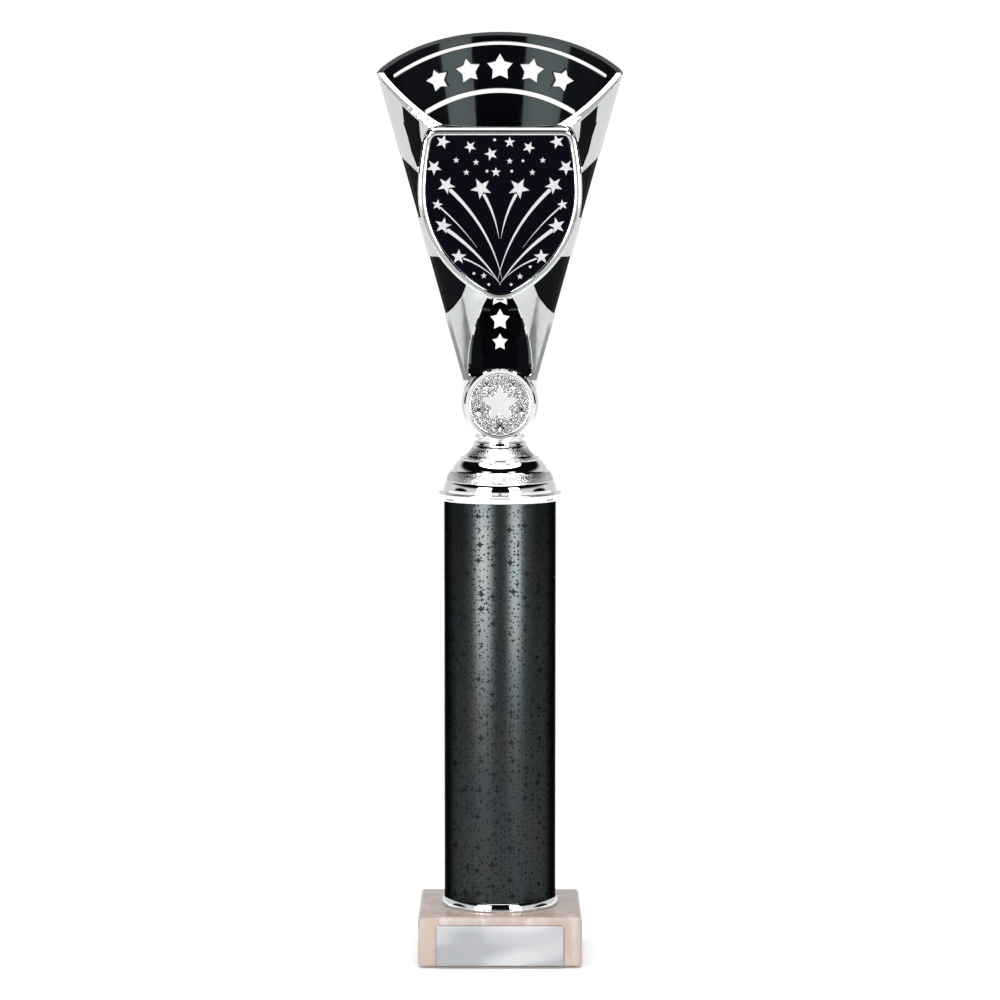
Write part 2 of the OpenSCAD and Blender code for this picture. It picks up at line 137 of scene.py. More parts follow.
def vertex_loop(bm, points):
    """A closed loop of new vertices and edges through the points."""
    verts = [bm.verts.new(p) for p in points]
    edges = [bm.edges.new((a, b)) for a, b in zip(verts, verts[1:] + verts[:1])]
    return verts, edges


def drawn_on(bm, loops):
    """A closed skin from each loop to the next, with a lid at both ends.
    All loops have the same number of points."""
    verts, edges = vertex_loop(bm, loops[0])
    bmesh.ops.contextual_create(bm, geom=edges)
    for points in loops[1:]:
        grown = bmesh.ops.extrude_edge_only(bm, edges=edges)["geom"]
        partner = {}
        for face in (f for f in grown if isinstance(f, bmesh.types.BMFace)):
            for edge in face.edges:
                ends = [v in verts for v in edge.verts]
                if ends[0] != ends[1]:
                    old, new = edge.verts if ends[0] else reversed(edge.verts)
                    partner[old] = new
        verts = [partner[v] for v in verts]
        for v, p in zip(verts, points):
            v.co = p
        edges = [bm.edges.get((a, b)) for a, b in zip(verts, verts[1:] + verts[:1])]
    bmesh.ops.contextual_create(bm, geom=edges)


def inset(outline, d):
    """The outline, drawn counterclockwise, moved inwards by d with mitred corners."""
    moved = []
    for i, p in enumerate(outline):
        a = (p - outline[i - 1]).normalized()
        b = (outline[(i + 1) % len(outline)] - p).normalized()
        normal = Vector((-a.y - b.y, a.x + b.x)).normalized()
        moved.append(p + normal * d / max(0.35, normal.dot(Vector((-a.y, a.x)))))
    return moved


def bezier(points, steps):
    """Points of a Bezier curve of any degree, without its first point."""
    made = []
    for i in range(1, steps + 1):
        row = [Vector(p) for p in points]
        while len(row) > 1:
            row = [a.lerp(b, i / steps) for a, b in zip(row, row[1:])]
        made.append(row[0])
    return made


def arc(a, b, sag, steps=8):
    """Points along an arc from a to b that rises by sag to the right of the way there."""
    a, b = Vector(a), Vector(b)
    chord = (b - a).length
    r = (chord * chord / 4 + sag * sag) / (2 * sag)
    side = Vector((b.y - a.y, a.x - b.x)) / chord
    centre = (a + b) / 2 - side * (r - sag)
    start = atan2(a.y - centre.y, a.x - centre.x)
    half = asin(chord / 2 / r)
    turn = [start + 2 * half * i / steps for i in range(steps + 1)]
    return [centre + abs(r) * Vector((cos(q), sin(q))) for q in turn]


def star(centre, r, waist, turn=90.0, tip=0.0):
    """A five-pointed star; tip rounds its points by that length."""
    points = []
    for i in range(10):
        q = radians(turn + 36 * i)
        spoke = Vector((cos(q), sin(q)))
        if i % 2:
            points.append(Vector(centre) + spoke * r * waist)
        elif not tip:
            points.append(Vector(centre) + spoke * r)
        else:
            side = Vector((-spoke.y, spoke.x))
            for s, back in ((-1, 1), (-0.55, 0.25), (0.55, 0.25), (1, 1)):
                points.append(Vector(centre) + spoke * (r - tip * back) + side * s * tip * 0.55)
    return points


def circle(centre, r, steps=32):
    return [Vector(centre) + r * Vector((cos(2 * pi * i / steps), sin(2 * pi * i / steps)))
            for i in range(steps)]


def shaded(obj, angle=32.0):
    """Smooth shading with sharp edges where faces meet at more than the angle."""
    bm = bmesh.new()
    bm.from_mesh(obj.data)
    limit = radians(angle)
    for face in bm.faces:
        face.smooth = True
    for edge in bm.edges:
        edge.smooth = len(edge.link_faces) == 2 and edge.calc_face_angle(0) < limit
    bm.to_mesh(obj.data)
    bm.free()


def linked(name, bm):
    """A new object in the scene, made of the bmesh."""
    mesh = bpy.data.meshes.new(name)
    bm.to_mesh(mesh)
    bm.free()
    obj = bpy.data.objects.new(name, mesh)
    bpy.context.scene.collection.objects.link(obj)
    return obj


def piece(name, bm, materials, replaces=(), angle=32.0):
    """Makes an object of the bmesh that rides on the trophy's one body."""
    obj = linked(name, bm)
    for mat in materials:
        obj.data.materials.append(mat)
    if angle:
        shaded(obj, angle)
    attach(obj, "root")
    if replaces:
        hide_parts(*replaces)
    return obj


def closed(bm):
    """Welds what lies together and turns the faces outwards."""
    bmesh.ops.remove_doubles(bm, verts=bm.verts, dist=2e-7)
    bmesh.ops.recalc_face_normals(bm, faces=bm.faces)
    return bm


def slab(low, high):
    """A box between two corners."""
    bm = bmesh.new()
    bmesh.ops.create_cube(bm, size=1)
    bmesh.ops.scale(bm, vec=high - low, verts=bm.verts)
    bmesh.ops.translate(bm, vec=(low + high) / 2, verts=bm.verts)
    return bm


def bevelled(bm, edges, width, segments):
    """Rounds the edges off by the width, in mm."""
    bmesh.ops.bevel(bm, geom=edges, offset=width * MM, offset_type="OFFSET", segments=segments,
                    profile=0.5, affect="EDGES", material=-1, clamp_overlap=True)


def turned(profile, steps, lying=None):
    """Turns a closed profile of (radius, height) in mm; lying is the height of a level axis."""
    bm = bmesh.new()
    points = [Vector((r, 0, z)) * MM for r, z in profile]
    verts, edges = vertex_loop(bm, points)
    bmesh.ops.spin(bm, geom=verts + edges, cent=(0, 0, 0), axis=(0, 0, 1), dvec=(0, 0, 0),
                   angle=2 * pi, steps=steps, use_merge=True, use_duplicate=False)
    on_axis = [f for f in bm.faces if f.calc_area() < 1e-13]
    bmesh.ops.delete(bm, geom=on_axis, context="FACES_ONLY")
    if lying is not None:
        place = Matrix.Translation((0, 0, lying)) @ Matrix.Rotation(pi / 2, 4, "X")
        bmesh.ops.transform(bm, matrix=place, verts=bm.verts)
    bmesh.ops.remove_doubles(bm, verts=bm.verts, dist=1e-6)
    bmesh.ops.dissolve_degenerate(bm, edges=bm.edges, dist=1e-7)
    return closed(bm)


# ---------------------------------------------------------------- materials

def add_node(tree, kind, inputs=None, **options):
    made = tree.nodes.new(kind)
    for key, value in options.items():
        setattr(made, key, value)
    for key, value in (inputs or {}).items():
        if isinstance(value, bpy.types.NodeSocket):
            tree.links.new(value, made.inputs[key])
        else:
            made.inputs[key].default_value = value
    return made


def calc(tree, operation, a, b=0.0, c=0.0):
    return add_node(tree, "ShaderNodeMath", {0: a, 1: b, 2: c}, operation=operation).outputs[0]


def blended(tree, share, a, b):
    """A colour between a and b."""
    mix = add_node(tree, "ShaderNodeMix", data_type="RGBA")
    for index, value in ((0, share), (6, a), (7, b)):
        if isinstance(value, bpy.types.NodeSocket):
            tree.links.new(value, mix.inputs[index])
        elif index:
            mix.inputs[index].default_value = (*value, 1)
        else:
            mix.inputs[index].default_value = value
    return mix.outputs[2]


def ramped(tree, value, low, high, to_low=0.0, to_high=1.0):
    return add_node(tree, "ShaderNodeMapRange", {0: value, 1: low, 2: high, 3: to_low, 4: to_high},
                    clamp=True).outputs[0]


def finish(name, tint, metallic=0.0, roughness=0.3, **sockets):
    """A material with a Principled shader whose constant values stand on its own sockets."""
    mat = bpy.data.materials.new(name)
    mat.use_nodes = True
    tree = mat.node_tree
    shader = tree.nodes["Principled BSDF"]
    shader.inputs["Base Color"].default_value = (*tint, 1)
    shader.inputs["Metallic"].default_value = metallic
    shader.inputs["Roughness"].default_value = roughness
    for socket, value in sockets.items():
        shader.inputs[socket.replace("_", " ")].default_value = value
    mat.diffuse_color = (*tint, 1)
    return mat, tree, shader


def place_of(tree, scale=(1, 1, 1)):
    """Object coordinates, in millimetres along each axis times scale."""
    where = add_node(tree, "ShaderNodeTexCoord").outputs["Object"]
    return add_node(tree, "ShaderNodeMapping",
                    {"Vector": where, "Scale": [1000 * s for s in scale]}).outputs[0]


def grain(tree, where, scale, detail=3.0, **inputs):
    return add_node(tree, "ShaderNodeTexNoise",
                    {"Vector": where, "Scale": scale, "Detail": detail, **inputs}).outputs[0]


def bumped(tree, shader, height, distance, strength=1.0):
    bump = add_node(tree, "ShaderNodeBump",
                    {"Height": height, "Distance": distance, "Strength": strength})
    tree.links.new(bump.outputs[0], shader.inputs["Normal"])


def plated(name, tint, low, high, wave=0.0):
    """Bright plating on moulded plastic, with faint wipe marks and a slow waviness."""
    mat, tree, shader = finish(name, tint, 1.0, low)
    where = place_of(tree)
    marks = grain(tree, where, 0.18, 5.0)
    tree.links.new(ramped(tree, marks, 0.4, 0.75, low, high), shader.inputs["Roughness"])
    if wave:
        bumped(tree, shader, grain(tree, where, 0.12, 1.0), wave * MM)
    return mat


def silver_plating():
    return plated("silver_plating", settings("cup").silver, 0.05, 0.11, 0.02)


def frame_plating():
    return plated("frame_plating", settings("cup").silver, 0.04, 0.09, 0.03)


def bright_chrome():
    return plated("bright_chrome", settings("column").chrome, 0.025, 0.06)


def hammered(name, share, depth):
    """Chrome with that share of its brightness, broken up by struck grains, depth in mm. A share
    below 1 is painted shade: the disc's field and the riser's bands are darker and lighter copies of
    one finish.
    """
    tint = [c * share for c in settings("column").chrome]
    mat, tree, shader = finish(name, tint, 1.0, 0.12)
    where = place_of(tree)
    cells = add_node(tree, "ShaderNodeTexVoronoi", {"Vector": where, "Scale": 2.1}).outputs[0]
    fine = grain(tree, where, 3.2, 2.0)
    height = calc(tree, "ADD", cells, fine)
    bumped(tree, shader, height, depth * MM, 0.7)
    tree.links.new(ramped(tree, fine, 0.3, 0.7, 0.1, 0.25), shader.inputs["Roughness"])
    return mat


def black_lacquer():
    mat, tree, shader = finish("black_lacquer", settings("cup").lacquer, 0.0, 0.06,
                               Specular_IOR_Level=0.06)
    shader.inputs["Specular Tint"].default_value = (0.8, 1.0, 0.98, 1)
    marks = grain(tree, place_of(tree), 0.25, 4.0)
    tree.links.new(ramped(tree, marks, 0.4, 0.8, 0.05, 0.12), shader.inputs["Roughness"])
    bumped(tree, shader, grain(tree, place_of(tree), 0.1, 1.0), 0.04 * MM)
    return mat


def printed_black():
    mat, tree, shader = finish("label_field", settings("shield").label, 0.0, 0.28,
                               Specular_IOR_Level=0.02)
    speck = grain(tree, place_of(tree), 3.0, 2.0)
    tree.links.new(ramped(tree, speck, 0.3, 0.7, 0.24, 0.36), shader.inputs["Roughness"])
    bumped(tree, shader, speck, 0.004 * MM)
    return mat


def printed_silver():
    tint = settings("shield").print
    mat, tree, shader = finish("label_print", tint, 0.0, 0.42)
    speck = grain(tree, place_of(tree), 5.0, 2.0)
    darker = [c * 0.8 for c in tint]
    tree.links.new(blended(tree, ramped(tree, speck, 0.35, 0.65), darker, tint),
                   shader.inputs["Base Color"])
    bumped(tree, shader, speck, 0.01 * MM)
    return mat


def star_foil():
    """Dark metal film with a repeat of four-pointed stars, small crosses and dots."""
    column = settings("column")
    mat, tree, shader = finish("star_foil", column.foil, 1.0, 0.28)
    shader.inputs["Specular Tint"].default_value = (0.2, 0.2, 0.2, 1)
    uv = add_node(tree, "ShaderNodeUVMap", uv_map="wrap").outputs[0]

    def motif(cell, reach, power, share, flat=1.0, seed=0.0):
        """1 inside a motif that stands in some of the cells of a scattered grid, in mm."""
        moved = add_node(tree, "ShaderNodeMapping",
                         {"Vector": uv, "Location": (seed, seed * 0.7, 0),
                          "Scale": (1000, 1000, 1)}).outputs[0]
        cells = add_node(tree, "ShaderNodeTexVoronoi",
                         {"Vector": moved, "Scale": 1 / cell, "Randomness": 0.75},
                         voronoi_dimensions="2D")
        gap = add_node(tree, "ShaderNodeVectorMath", {0: moved, 1: cells.outputs["Position"]},
                       operation="SUBTRACT").outputs[0]
        split = add_node(tree, "ShaderNodeSeparateXYZ", {0: gap})
        lots = add_node(tree, "ShaderNodeSeparateColor", {0: cells.outputs["Color"]})
        across = calc(tree, "POWER", calc(tree, "ABSOLUTE", split.outputs[0]), power)
        along = calc(tree, "MULTIPLY", calc(tree, "ABSOLUTE", split.outputs[1]), flat)
        total = calc(tree, "ADD", across, calc(tree, "POWER", along, power))
        size = ramped(tree, lots.outputs[1], 0, 1, 0.7 * reach, reach)
        limit = calc(tree, "POWER", size, power)
        inside = calc(tree, "LESS_THAN", total, limit)
        return calc(tree, "MULTIPLY", inside, calc(tree, "LESS_THAN", lots.outputs[0], share))

    motifs = motif(6.4, 3.0, 0.5, 0.42, 1.3, 3.1)
    for made in (motif(3.1, 1.35, 0.5, 0.55, 1.0, 11.7), motif(1.75, 0.42, 2.0, 0.62, 1.0, 5.3)):
        motifs = calc(tree, "MAXIMUM", motifs, made)
    cloud = grain(tree, place_of(tree, (1, 1, 0.5)), 0.06, 2.0)
    film = blended(tree, ramped(tree, cloud, 0.35, 0.65), column.foil,
                   [c * s for c, s in zip(column.foil, (0.82, 0.96, 1.02))])
    tree.links.new(blended(tree, motifs, film, column.pattern), shader.inputs["Base Color"])
    tree.links.new(ramped(tree, motifs, 0, 1, 0.28, 0.5), shader.inputs["Roughness"])
    bumped(tree, shader, grain(tree, place_of(tree), 2.2, 3.0), 0.02 * MM, 0.5)
    return mat


def pink_marble():
    column = settings("column")
    mat, tree, shader = finish("pink_marble", column.marble, 0.0, 0.14,
                               Specular_IOR_Level=0.06,
                               Subsurface_Weight=0.12, Subsurface_Scale=0.004)
    shader.inputs["Subsurface Radius"].default_value = (1.0, 0.6, 0.5)
    streaks = grain(tree, place_of(tree, (1, 1, 0.22)), 0.16, 5.0, Distortion=0.6)
    clouds = grain(tree, place_of(tree, (1, 1, 0.6)), 0.05, 3.0)
    veins = ramped(tree, streaks, 0.48, 0.66)
    soft = blended(tree, ramped(tree, clouds, 0.35, 0.65), column.marble,
                   [c * s for c, s in zip(column.marble, (0.96, 0.93, 0.92))])
    tree.links.new(blended(tree, veins, soft, column.vein), shader.inputs["Base Color"])
    pits = grain(tree, place_of(tree), 1.6, 4.0)
    tree.links.new(ramped(tree, pits, 0.3, 0.7, 0.1, 0.2), shader.inputs["Roughness"])
    bumped(tree, shader, pits, 0.01 * MM, 0.4)
    return mat


def plate_metal():
    light = (0.60, 0.605, 0.615)
    mat, tree, shader = finish("plate_metal", light, 1.0, 0.16)
    lines = grain(tree, place_of(tree, (0.05, 1, 4)), 1.2, 3.0)
    tree.links.new(ramped(tree, lines, 0.3, 0.7, 0.12, 0.24), shader.inputs["Roughness"])
    bumped(tree, shader, lines, 0.004 * MM, 0.5)
    # Painted reflection: a slow swing between the light tone and a darker one stands in for the
    # broad reflections across the polished plate
    painted_reflection = grain(tree, place_of(tree, (0.6, 1, 1.6)), 0.05, 1.0)
    tree.links.new(blended(tree, ramped(tree, painted_reflection, 0.4, 0.62), (0.38, 0.39, 0.41), light),
                   shader.inputs["Base Color"])
    return mat


def felt():
    mat, tree, shader = finish("green_felt", (0.012, 0.05, 0.022), 0.0, 0.95, Sheen_Weight=0.5)
    fibre = grain(tree, place_of(tree), 2.5, 6.0)
    tree.links.new(blended(tree, fibre, (0.006, 0.03, 0.012), (0.02, 0.085, 0.04)),
                   shader.inputs["Base Color"])
    bumped(tree, shader, fibre, 0.2 * MM)
    return mat


def simple(name, tint, metallic, roughness, scale, depth, contrast=0.25):
    """A plain material for the pieces inside, with its own grain in colour, gloss and height."""
    mat, tree, shader = finish(name, tint, metallic, roughness)
    spots = grain(tree, place_of(tree), scale, 4.0)
    tree.links.new(blended(tree, spots, [c * (1 - contrast) for c in tint], tint),
                   shader.inputs["Base Color"])
    tree.links.new(ramped(tree, spots, 0.3, 0.7, roughness * 0.8, min(1, roughness * 1.2)),
                   shader.inputs["Roughness"])
    bumped(tree, shader, spots, depth * MM)
    return mat


# ---------------------------------------------------------------- the cup's shape

class Fan:
    """The cup's two walls. Each is part of a round cone, and the two cones share their apex.
    A wall is drawn flat, in x and z as seen from the front with its depth in y, and then bent."""

    def __init__(self):
        c = settings("cup")
        self.bottom = CUP[0].z + c.spigot_h
        self.top = CUP[1].z
        self.corner = self.top - c.rear_rise
        self.slope = (c.top_w - c.bottom_w) / 2 / (self.corner - self.bottom)
        self.apex = self.bottom - c.bottom_w / 2 / self.slope
        side = atan(self.slope)
        self.wall_angle = atan(c.bulge * self.slope)
        self.tilt = atan((cos(self.wall_angle) - cos(side)) / sin(self.wall_angle))
        self.k = cos(self.tilt + self.wall_angle) ** 2
        self.axis = Vector((0, sin(self.tilt), cos(self.tilt)))
        self.rear_slope = c.rear_rise / ((self.top - self.apex) * tan(self.wall_angle))
        front_low = self.corner - c.front_drop
        self.front_slope = c.front_drop / ((front_low - self.apex) * tan(self.wall_angle))

    def edge_x(self, z):
        """Half width of the cup at a height."""
        return self.slope * (z - self.apex) - settings("cup").side_cut

    def cone_y(self, x, z):
        """How far the front wall's outer face lies in front of the middle."""
        h = z - self.apex
        s, c = self.axis.y, self.axis.z
        a, b, d = s * s - self.k, 2 * s * c * h, (c * c - self.k) * h * h - self.k * x * x
        return -(-b + sqrt(max(0, b * b - 4 * a * d))) / (2 * a)

    def skin(self, x, z):
        """The point and outward normal of the front wall at x and z."""
        strip = settings("cup").side_strip
        edge = self.edge_x(z)
        turn = edge - strip
        if abs(x) <= turn + 1e-7:
            y = -self.cone_y(x, z)
            p = Vector((x, y, z - self.apex))
            normal = (p * self.k - self.axis * p.dot(self.axis)).normalized()
            return Vector((x, y, z)), normal
        depth = self.cone_y(turn, z)
        share = min(1.0, (edge - abs(x)) / strip)
        normal = Vector((depth, -strip, -self.slope * depth)).normalized()
        if x < 0:
            normal.x = -normal.x
        return Vector((x, -depth * share, z)), normal

    def rim_z(self, x, toward):
        """Height of the rim at x on the front (1) or the rear (-1) wall."""
        low, high = self.bottom, self.top + 0.03
        for _ in range(50):
            mid = (low + high) / 2
            y = self.skin(x, mid)[0].y if abs(x) < self.edge_x(mid) else 0.0
            rim = self.corner + (self.front_slope * y if toward > 0 else -self.rear_slope * y)
            low, high = (mid, high) if mid < rim else (low, mid)
        return low


def flat_wall(fan, outline, holes, fields, slopes):
    """A flat wall in x and z, cut into the strips that will bend.
    Material 1 marks the fields of lacquer and material 2 what slopes up to the rim."""
    bm = bmesh.new()
    bm.faces.layers.int.new("skin")

    def filled(loops, mat):
        edges = []
        for loop in loops:
            edges += vertex_loop(bm, [Vector((p.x, 0, p.y)) for p in loop])[1]
        made = bmesh.ops.triangle_fill(bm, edges=edges, use_beauty=False, use_dissolve=False,
                                       normal=(0, -1, 0))["geom"]
        for f in made:
            if isinstance(f, bmesh.types.BMFace):
                f.material_index = mat

    filled([outline] + holes, 0)
    for field in fields:
        filled([field], 1)
    for slope in slopes:
        filled([slope], 2)
    bmesh.ops.remove_doubles(bm, verts=bm.verts, dist=1e-6)
    count = settings("cup").strips
    strip = settings("cup").side_cut + settings("cup").side_strip
    cuts = [(fan.slope * 1.02 * (2 * i / count - 1), 0.0) for i in range(1, count)]
    cuts += [(fan.slope, -strip), (-fan.slope, strip)]
    for t, shift in cuts:
        bmesh.ops.bisect_plane(bm, geom=bm.verts[:] + bm.edges[:] + bm.faces[:], dist=1e-7,
                               plane_co=(shift, 0, fan.apex), plane_no=(1, 0, -t))
    for f in bm.faces:
        f.normal_update()
        if f.normal.y > 0:
            f.normal_flip()
    return bm


def thickened(bm, thickness, edge, sink):
    """Gives the flat wall its sunk fields, its chamfers and its thickness."""
    skin = bm.faces.layers.int["skin"]
    lacquered = [f for f in bm.faces if f.material_index == 1]
    ring = bmesh.ops.inset_region(bm, faces=lacquered, thickness=edge, depth=0,
                                  use_boundary=False, use_even_offset=True)["faces"]
    for f in ring:
        f.material_index = 0
        f[skin] = EDGE
    for v in {v for f in lacquered for v in f.verts}:
        v.co.y = sink
    rims = bmesh.ops.inset_region(bm, faces=bm.faces[:], thickness=edge, depth=0,
                                  use_boundary=True, use_even_offset=True)["faces"]
    for f in rims:
        f[skin] = EDGE
    for v in {v for e in bm.edges if e.is_boundary for v in e.verts}:
        v.co.y += edge
    for f in bm.faces:
        if f.material_index == 2:
            f[skin] = EDGE
            f.material_index = 0
    copy = bmesh.ops.duplicate(bm, geom=bm.verts[:] + bm.edges[:] + bm.faces[:])["geom"]
    back_verts = {g for g in copy if isinstance(g, bmesh.types.BMVert)}
    back = [g for g in copy if isinstance(g, bmesh.types.BMFace)]
    front_edges = [e for e in bm.edges if e.is_boundary and e.verts[0] not in back_verts]
    for v in back_verts:
        v.co.y = thickness - (edge if v.is_boundary else 0)
    bmesh.ops.reverse_faces(bm, faces=back)
    for f in back:
        f[skin] = max(INSIDE, f[skin])
        f.material_index = 1
    walls = bmesh.ops.extrude_edge_only(bm, edges=front_edges)["geom"]
    for g in walls:
        if isinstance(g, bmesh.types.BMVert):
            g.co.y = thickness - edge
        elif isinstance(g, bmesh.types.BMFace):
            g[skin] = EDGE
    bmesh.ops.remove_doubles(bm, verts=bm.verts, dist=1e-7)


def trimmed(bm, point, normal, edge=0.0):
    """Cuts away what lies beyond a plane and closes the cut, with a chamfer if edge is given."""
    normal = Vector(normal).normalized()
    bmesh.ops.bisect_plane(bm, geom=bm.verts[:] + bm.edges[:] + bm.faces[:], dist=1e-7,
                           plane_co=Vector(point) - normal * edge, plane_no=normal,
                           clear_outer=True)
    open_edges = [e for e in bm.edges if e.is_boundary]
    caps = bmesh.ops.holes_fill(bm, edges=open_edges, sides=0)["faces"]
    skin = bm.faces.layers.int["skin"]
    rings = []
    if edge:
        rings = bmesh.ops.inset_region(bm, faces=caps, thickness=edge, depth=0,
                                       use_boundary=True, use_even_offset=True)["faces"]
        for v in {v for f in caps for v in f.verts}:
            v.co += normal * edge
    for f in caps + rings:
        f[skin] = EDGE
        f.material_index = 1 if f in rings else 0


def bent(bm, fan, toward):
    """Bends the flat wall onto its cone; toward is 1 for the front wall and -1 for the rear."""
    for v in bm.verts:
        point, normal = fan.skin(v.co.x, v.co.z)
        place = point - normal * v.co.y
        v.co = (place.x, place.y * toward, place.z)
    if toward < 0:
        bmesh.ops.reverse_faces(bm, faces=bm.faces)
    c = settings("cup")
    trimmed(bm, (0, 0, 0), (0, toward, 0))
    trimmed(bm, (0, 0, fan.bottom), (0, 0, -1))
    slope = fan.front_slope if toward > 0 else fan.rear_slope
    trimmed(bm, (0, 0, fan.corner), (0, -slope, 1), c.edge)


def lens_outline(hw, bulge, steps=24):
    """The cup's cross-section: two arcs that meet at hw on either side."""
    sag = hw * bulge
    front = arc((-hw, 0), (hw, 0), sag, steps)
    return front + [Vector((-p.x, -p.y)) for p in front[1:-1]]


def both(points):
    """The same outline on the other side, in the same turning direction."""
    return [Vector((-p[0], p[1])) for p in reversed(points)]


# ---------------------------------------------------------------- operators

class TROPHY_OT_cup(bpy.types.Operator):
    """Two-walled fan cup: plated outside, lacquered inside, with its pierced stars and slots"""
    bl_idname = "trophy.cup"
    bl_label = "Cup"

    def execute(self, context):
        fan = Fan()
        c = settings("cup")
        # How far the flat walls reach past the rim and the bottom before they are trimmed, in mm
        over = 5.0

        def edge(up):
            """A point just beyond the cup's right-hand edge, where the walls are cut off."""
            return (fan.edge_x(fan.bottom + up * MM) / MM + 1.2, up)

        def crest(x):
            """Height of the line where the front wall starts to slope up to its rim."""
            drop = 2.6 * sqrt(max(0, 1 - abs(x) / 48.2)) * MM
            return (fan.rim_z(x * MM, 1) - fan.bottom - drop) / MM

        # Right-hand outlines of the lacquered fields in mm from the middle and the bottom
        low_band = [edge(26), edge(49.4), (16, 49.4), (12, 42), (14, 36.5), (15.4, 33.2),
                    (18.5, 29.2), (20.9, 27)]
        high_band = [edge(64.8), edge(90.6), (38.2, 88), (32.1, 82.3), (26, 77), (24, 64.8)]
        wedge = [(x, crest(x) - 0.6) for x in (39.1, 37, 34.5, 31.9)]
        wedge += [(31.4, 97), (30.9, 94.9), (26, 93), (26, 81), (32.7, 84.7), (35.1, 91),
                  (36.6, 97.1), (38.5, 103.1)]
        # The wall's own right-hand side passes around the bands, which are filled apart from it
        right = [edge(-over), low_band[0]] + low_band[:1:-1] + [low_band[1], high_band[0]]
        right += high_band[:1:-1] + [high_band[1]]

        def placed(points):
            """The points in metres, with their heights from the floor the trophy stands on."""
            return [Vector((x * MM, fan.bottom + up * MM)) for x, up in points]

        def rim(toward, steps=48):
            """A line above the rim from the right-hand edge to the left one."""
            corner = fan.edge_x(fan.corner)
            xs = [corner * (1 - 2 * i / steps) for i in range(1, steps)]
            row = [Vector((x, fan.rim_z(x, toward) + over * MM)) for x in xs]
            ends = placed([edge((fan.corner - fan.bottom) / MM + over)])
            return ends + row + both(ends)

        def wall(toward, holes):
            side = placed(right)
            fields = [placed(low_band), placed(high_band)]
            top = rim(toward)
            outline = side + top + both(side)
            slopes = []
            if toward > 0:
                fields.append(placed(wedge))
                line = [(x, crest(x)) for x in (48.1 - 96.2 * i / 44 for i in range(45))]
                line = placed([edge(crest(48.1))] + line) + both(placed([edge(crest(48.1))]))
                outline = side + line + both(side)
                slopes = [line[::-1] + top]
            fields += [both(f) for f in fields]
            wedges = [fields[2], fields[5]] if toward > 0 else []
            bm = flat_wall(fan, outline, holes + wedges, fields, slopes)
            for v in {v for f in bm.faces if f.material_index == 2 for v in f.verts}:
                v.co.y = max(0, v.co.z - fan.bottom - crest(v.co.x / MM) * MM) * 0.4
            thickened(bm, c.wall, c.edge, c.sink)
            bent(bm, fan, toward)
            return bm

        front = wall(1, [placed(self.arch())] + self.peg_holes(fan))
        rear = wall(-1, self.piercings(fan))
        self.coloured(front, fan, 1)
        self.coloured(rear, fan, -1)
        bm = bmesh.new()
        for half in (front, rear):
            mesh = bpy.data.meshes.new("half")
            half.to_mesh(mesh)
            half.free()
            bm.from_mesh(mesh)
            bpy.data.meshes.remove(mesh)
        self.foot(bm, fan)
        obj = piece("fan_cup", bm, [silver_plating(), black_lacquer()],
                    ["cup_shell"], angle=None)
        self.set_normals(obj, fan)
        return {"FINISHED"}

    def arch(self):
        """The pointed opening low in the front wall, in mm, clockwise."""
        hw, foot, low = 12.75, 2.5, 1.5
        left = [Vector((foot - hw - foot * sin(radians(q)), low + foot - foot * cos(radians(q))))
                for q in (0, 30, 60, 90)]
        left += arc((-hw, low + 3.8), (0, low + 39.2), -3.2, 20)
        return left + [Vector((-p.x, p.y)) for p in reversed(left[:-1])]

    def peg_holes(self, fan):
        tip = fan.bottom + settings("shield").up
        return [circle((0, tip + h * MM * cos(fan.wall_angle)), 2.1 * MM, 24)
                for h in PEG_HEIGHTS]

    def piercings(self, fan):
        """Two bent slots, the row of five stars and the three low stars."""
        centre = Vector((0, fan.corner / MM - 64.4))
        holes = []
        for r, w, half in ((75.9, 1.4, 34.6), (56.9, 1.9, 32.0)):
            outer = [centre + (r + w / 2) * Vector((sin(q), cos(q)))
                     for q in (radians(half * (1 - i / 20)) for i in range(41))]
            inner = [centre + (r - w / 2) * Vector((sin(q), cos(q)))
                     for q in (radians(half * (i / 20 - 1)) for i in range(41))]
            ends = []
            for sign in (-1, 1):
                q = radians(sign * half)
                way = Vector((sin(q), cos(q)))
                out = Vector((cos(q), -sin(q))) * sign
                ends.append([centre + way * (r + sign * s * w / 2 * 0.75) + out * w / 2 * e
                             for s, e in ((-1, 0.6), (0, 1.0), (1, 0.6))])
            holes.append(outer + ends[0] + inner + ends[1])
        for i in range(-2, 3):
            q = radians(11.3 * i)
            place = centre + 66.1 * Vector((sin(q), cos(q)))
            holes.append(star(place, 5.6 - 0.3 * abs(i), 0.56, 90 - 11.3 * i, 0.5))
        low = fan.bottom / MM
        for up, r in ((33.6, 5.2), (23.4, 4.4), (14.5, 3.5)):
            holes.append(star((0, low + up), r, 0.56, 90, 0.45))
        return [[p * MM for p in hole] for hole in holes]

    def coloured(self, bm, fan, toward):
        """Lacquers all edges of the rear wall and the tips of the front wall's rim."""
        skin = bm.faces.layers.int["skin"]
        for f in (f for f in bm.faces if f[skin] == EDGE):
            middle = f.calc_center_median()
            at_corner = abs(middle.x) > 46.4 * MM and middle.z > fan.corner - 4 * MM
            if toward < 0 or at_corner:
                f.material_index = 1

    def foot(self, bm, fan):
        """The floor and the spigot that stands in the drum."""
        c = settings("cup")
        hw = fan.edge_x(fan.bottom) - 0.5 * c.wall
        spigot = hw - 1.4 * MM

        def level(width, z):
            return [Vector((p.x, p.y, z)) for p in lens_outline(width, c.bulge)]

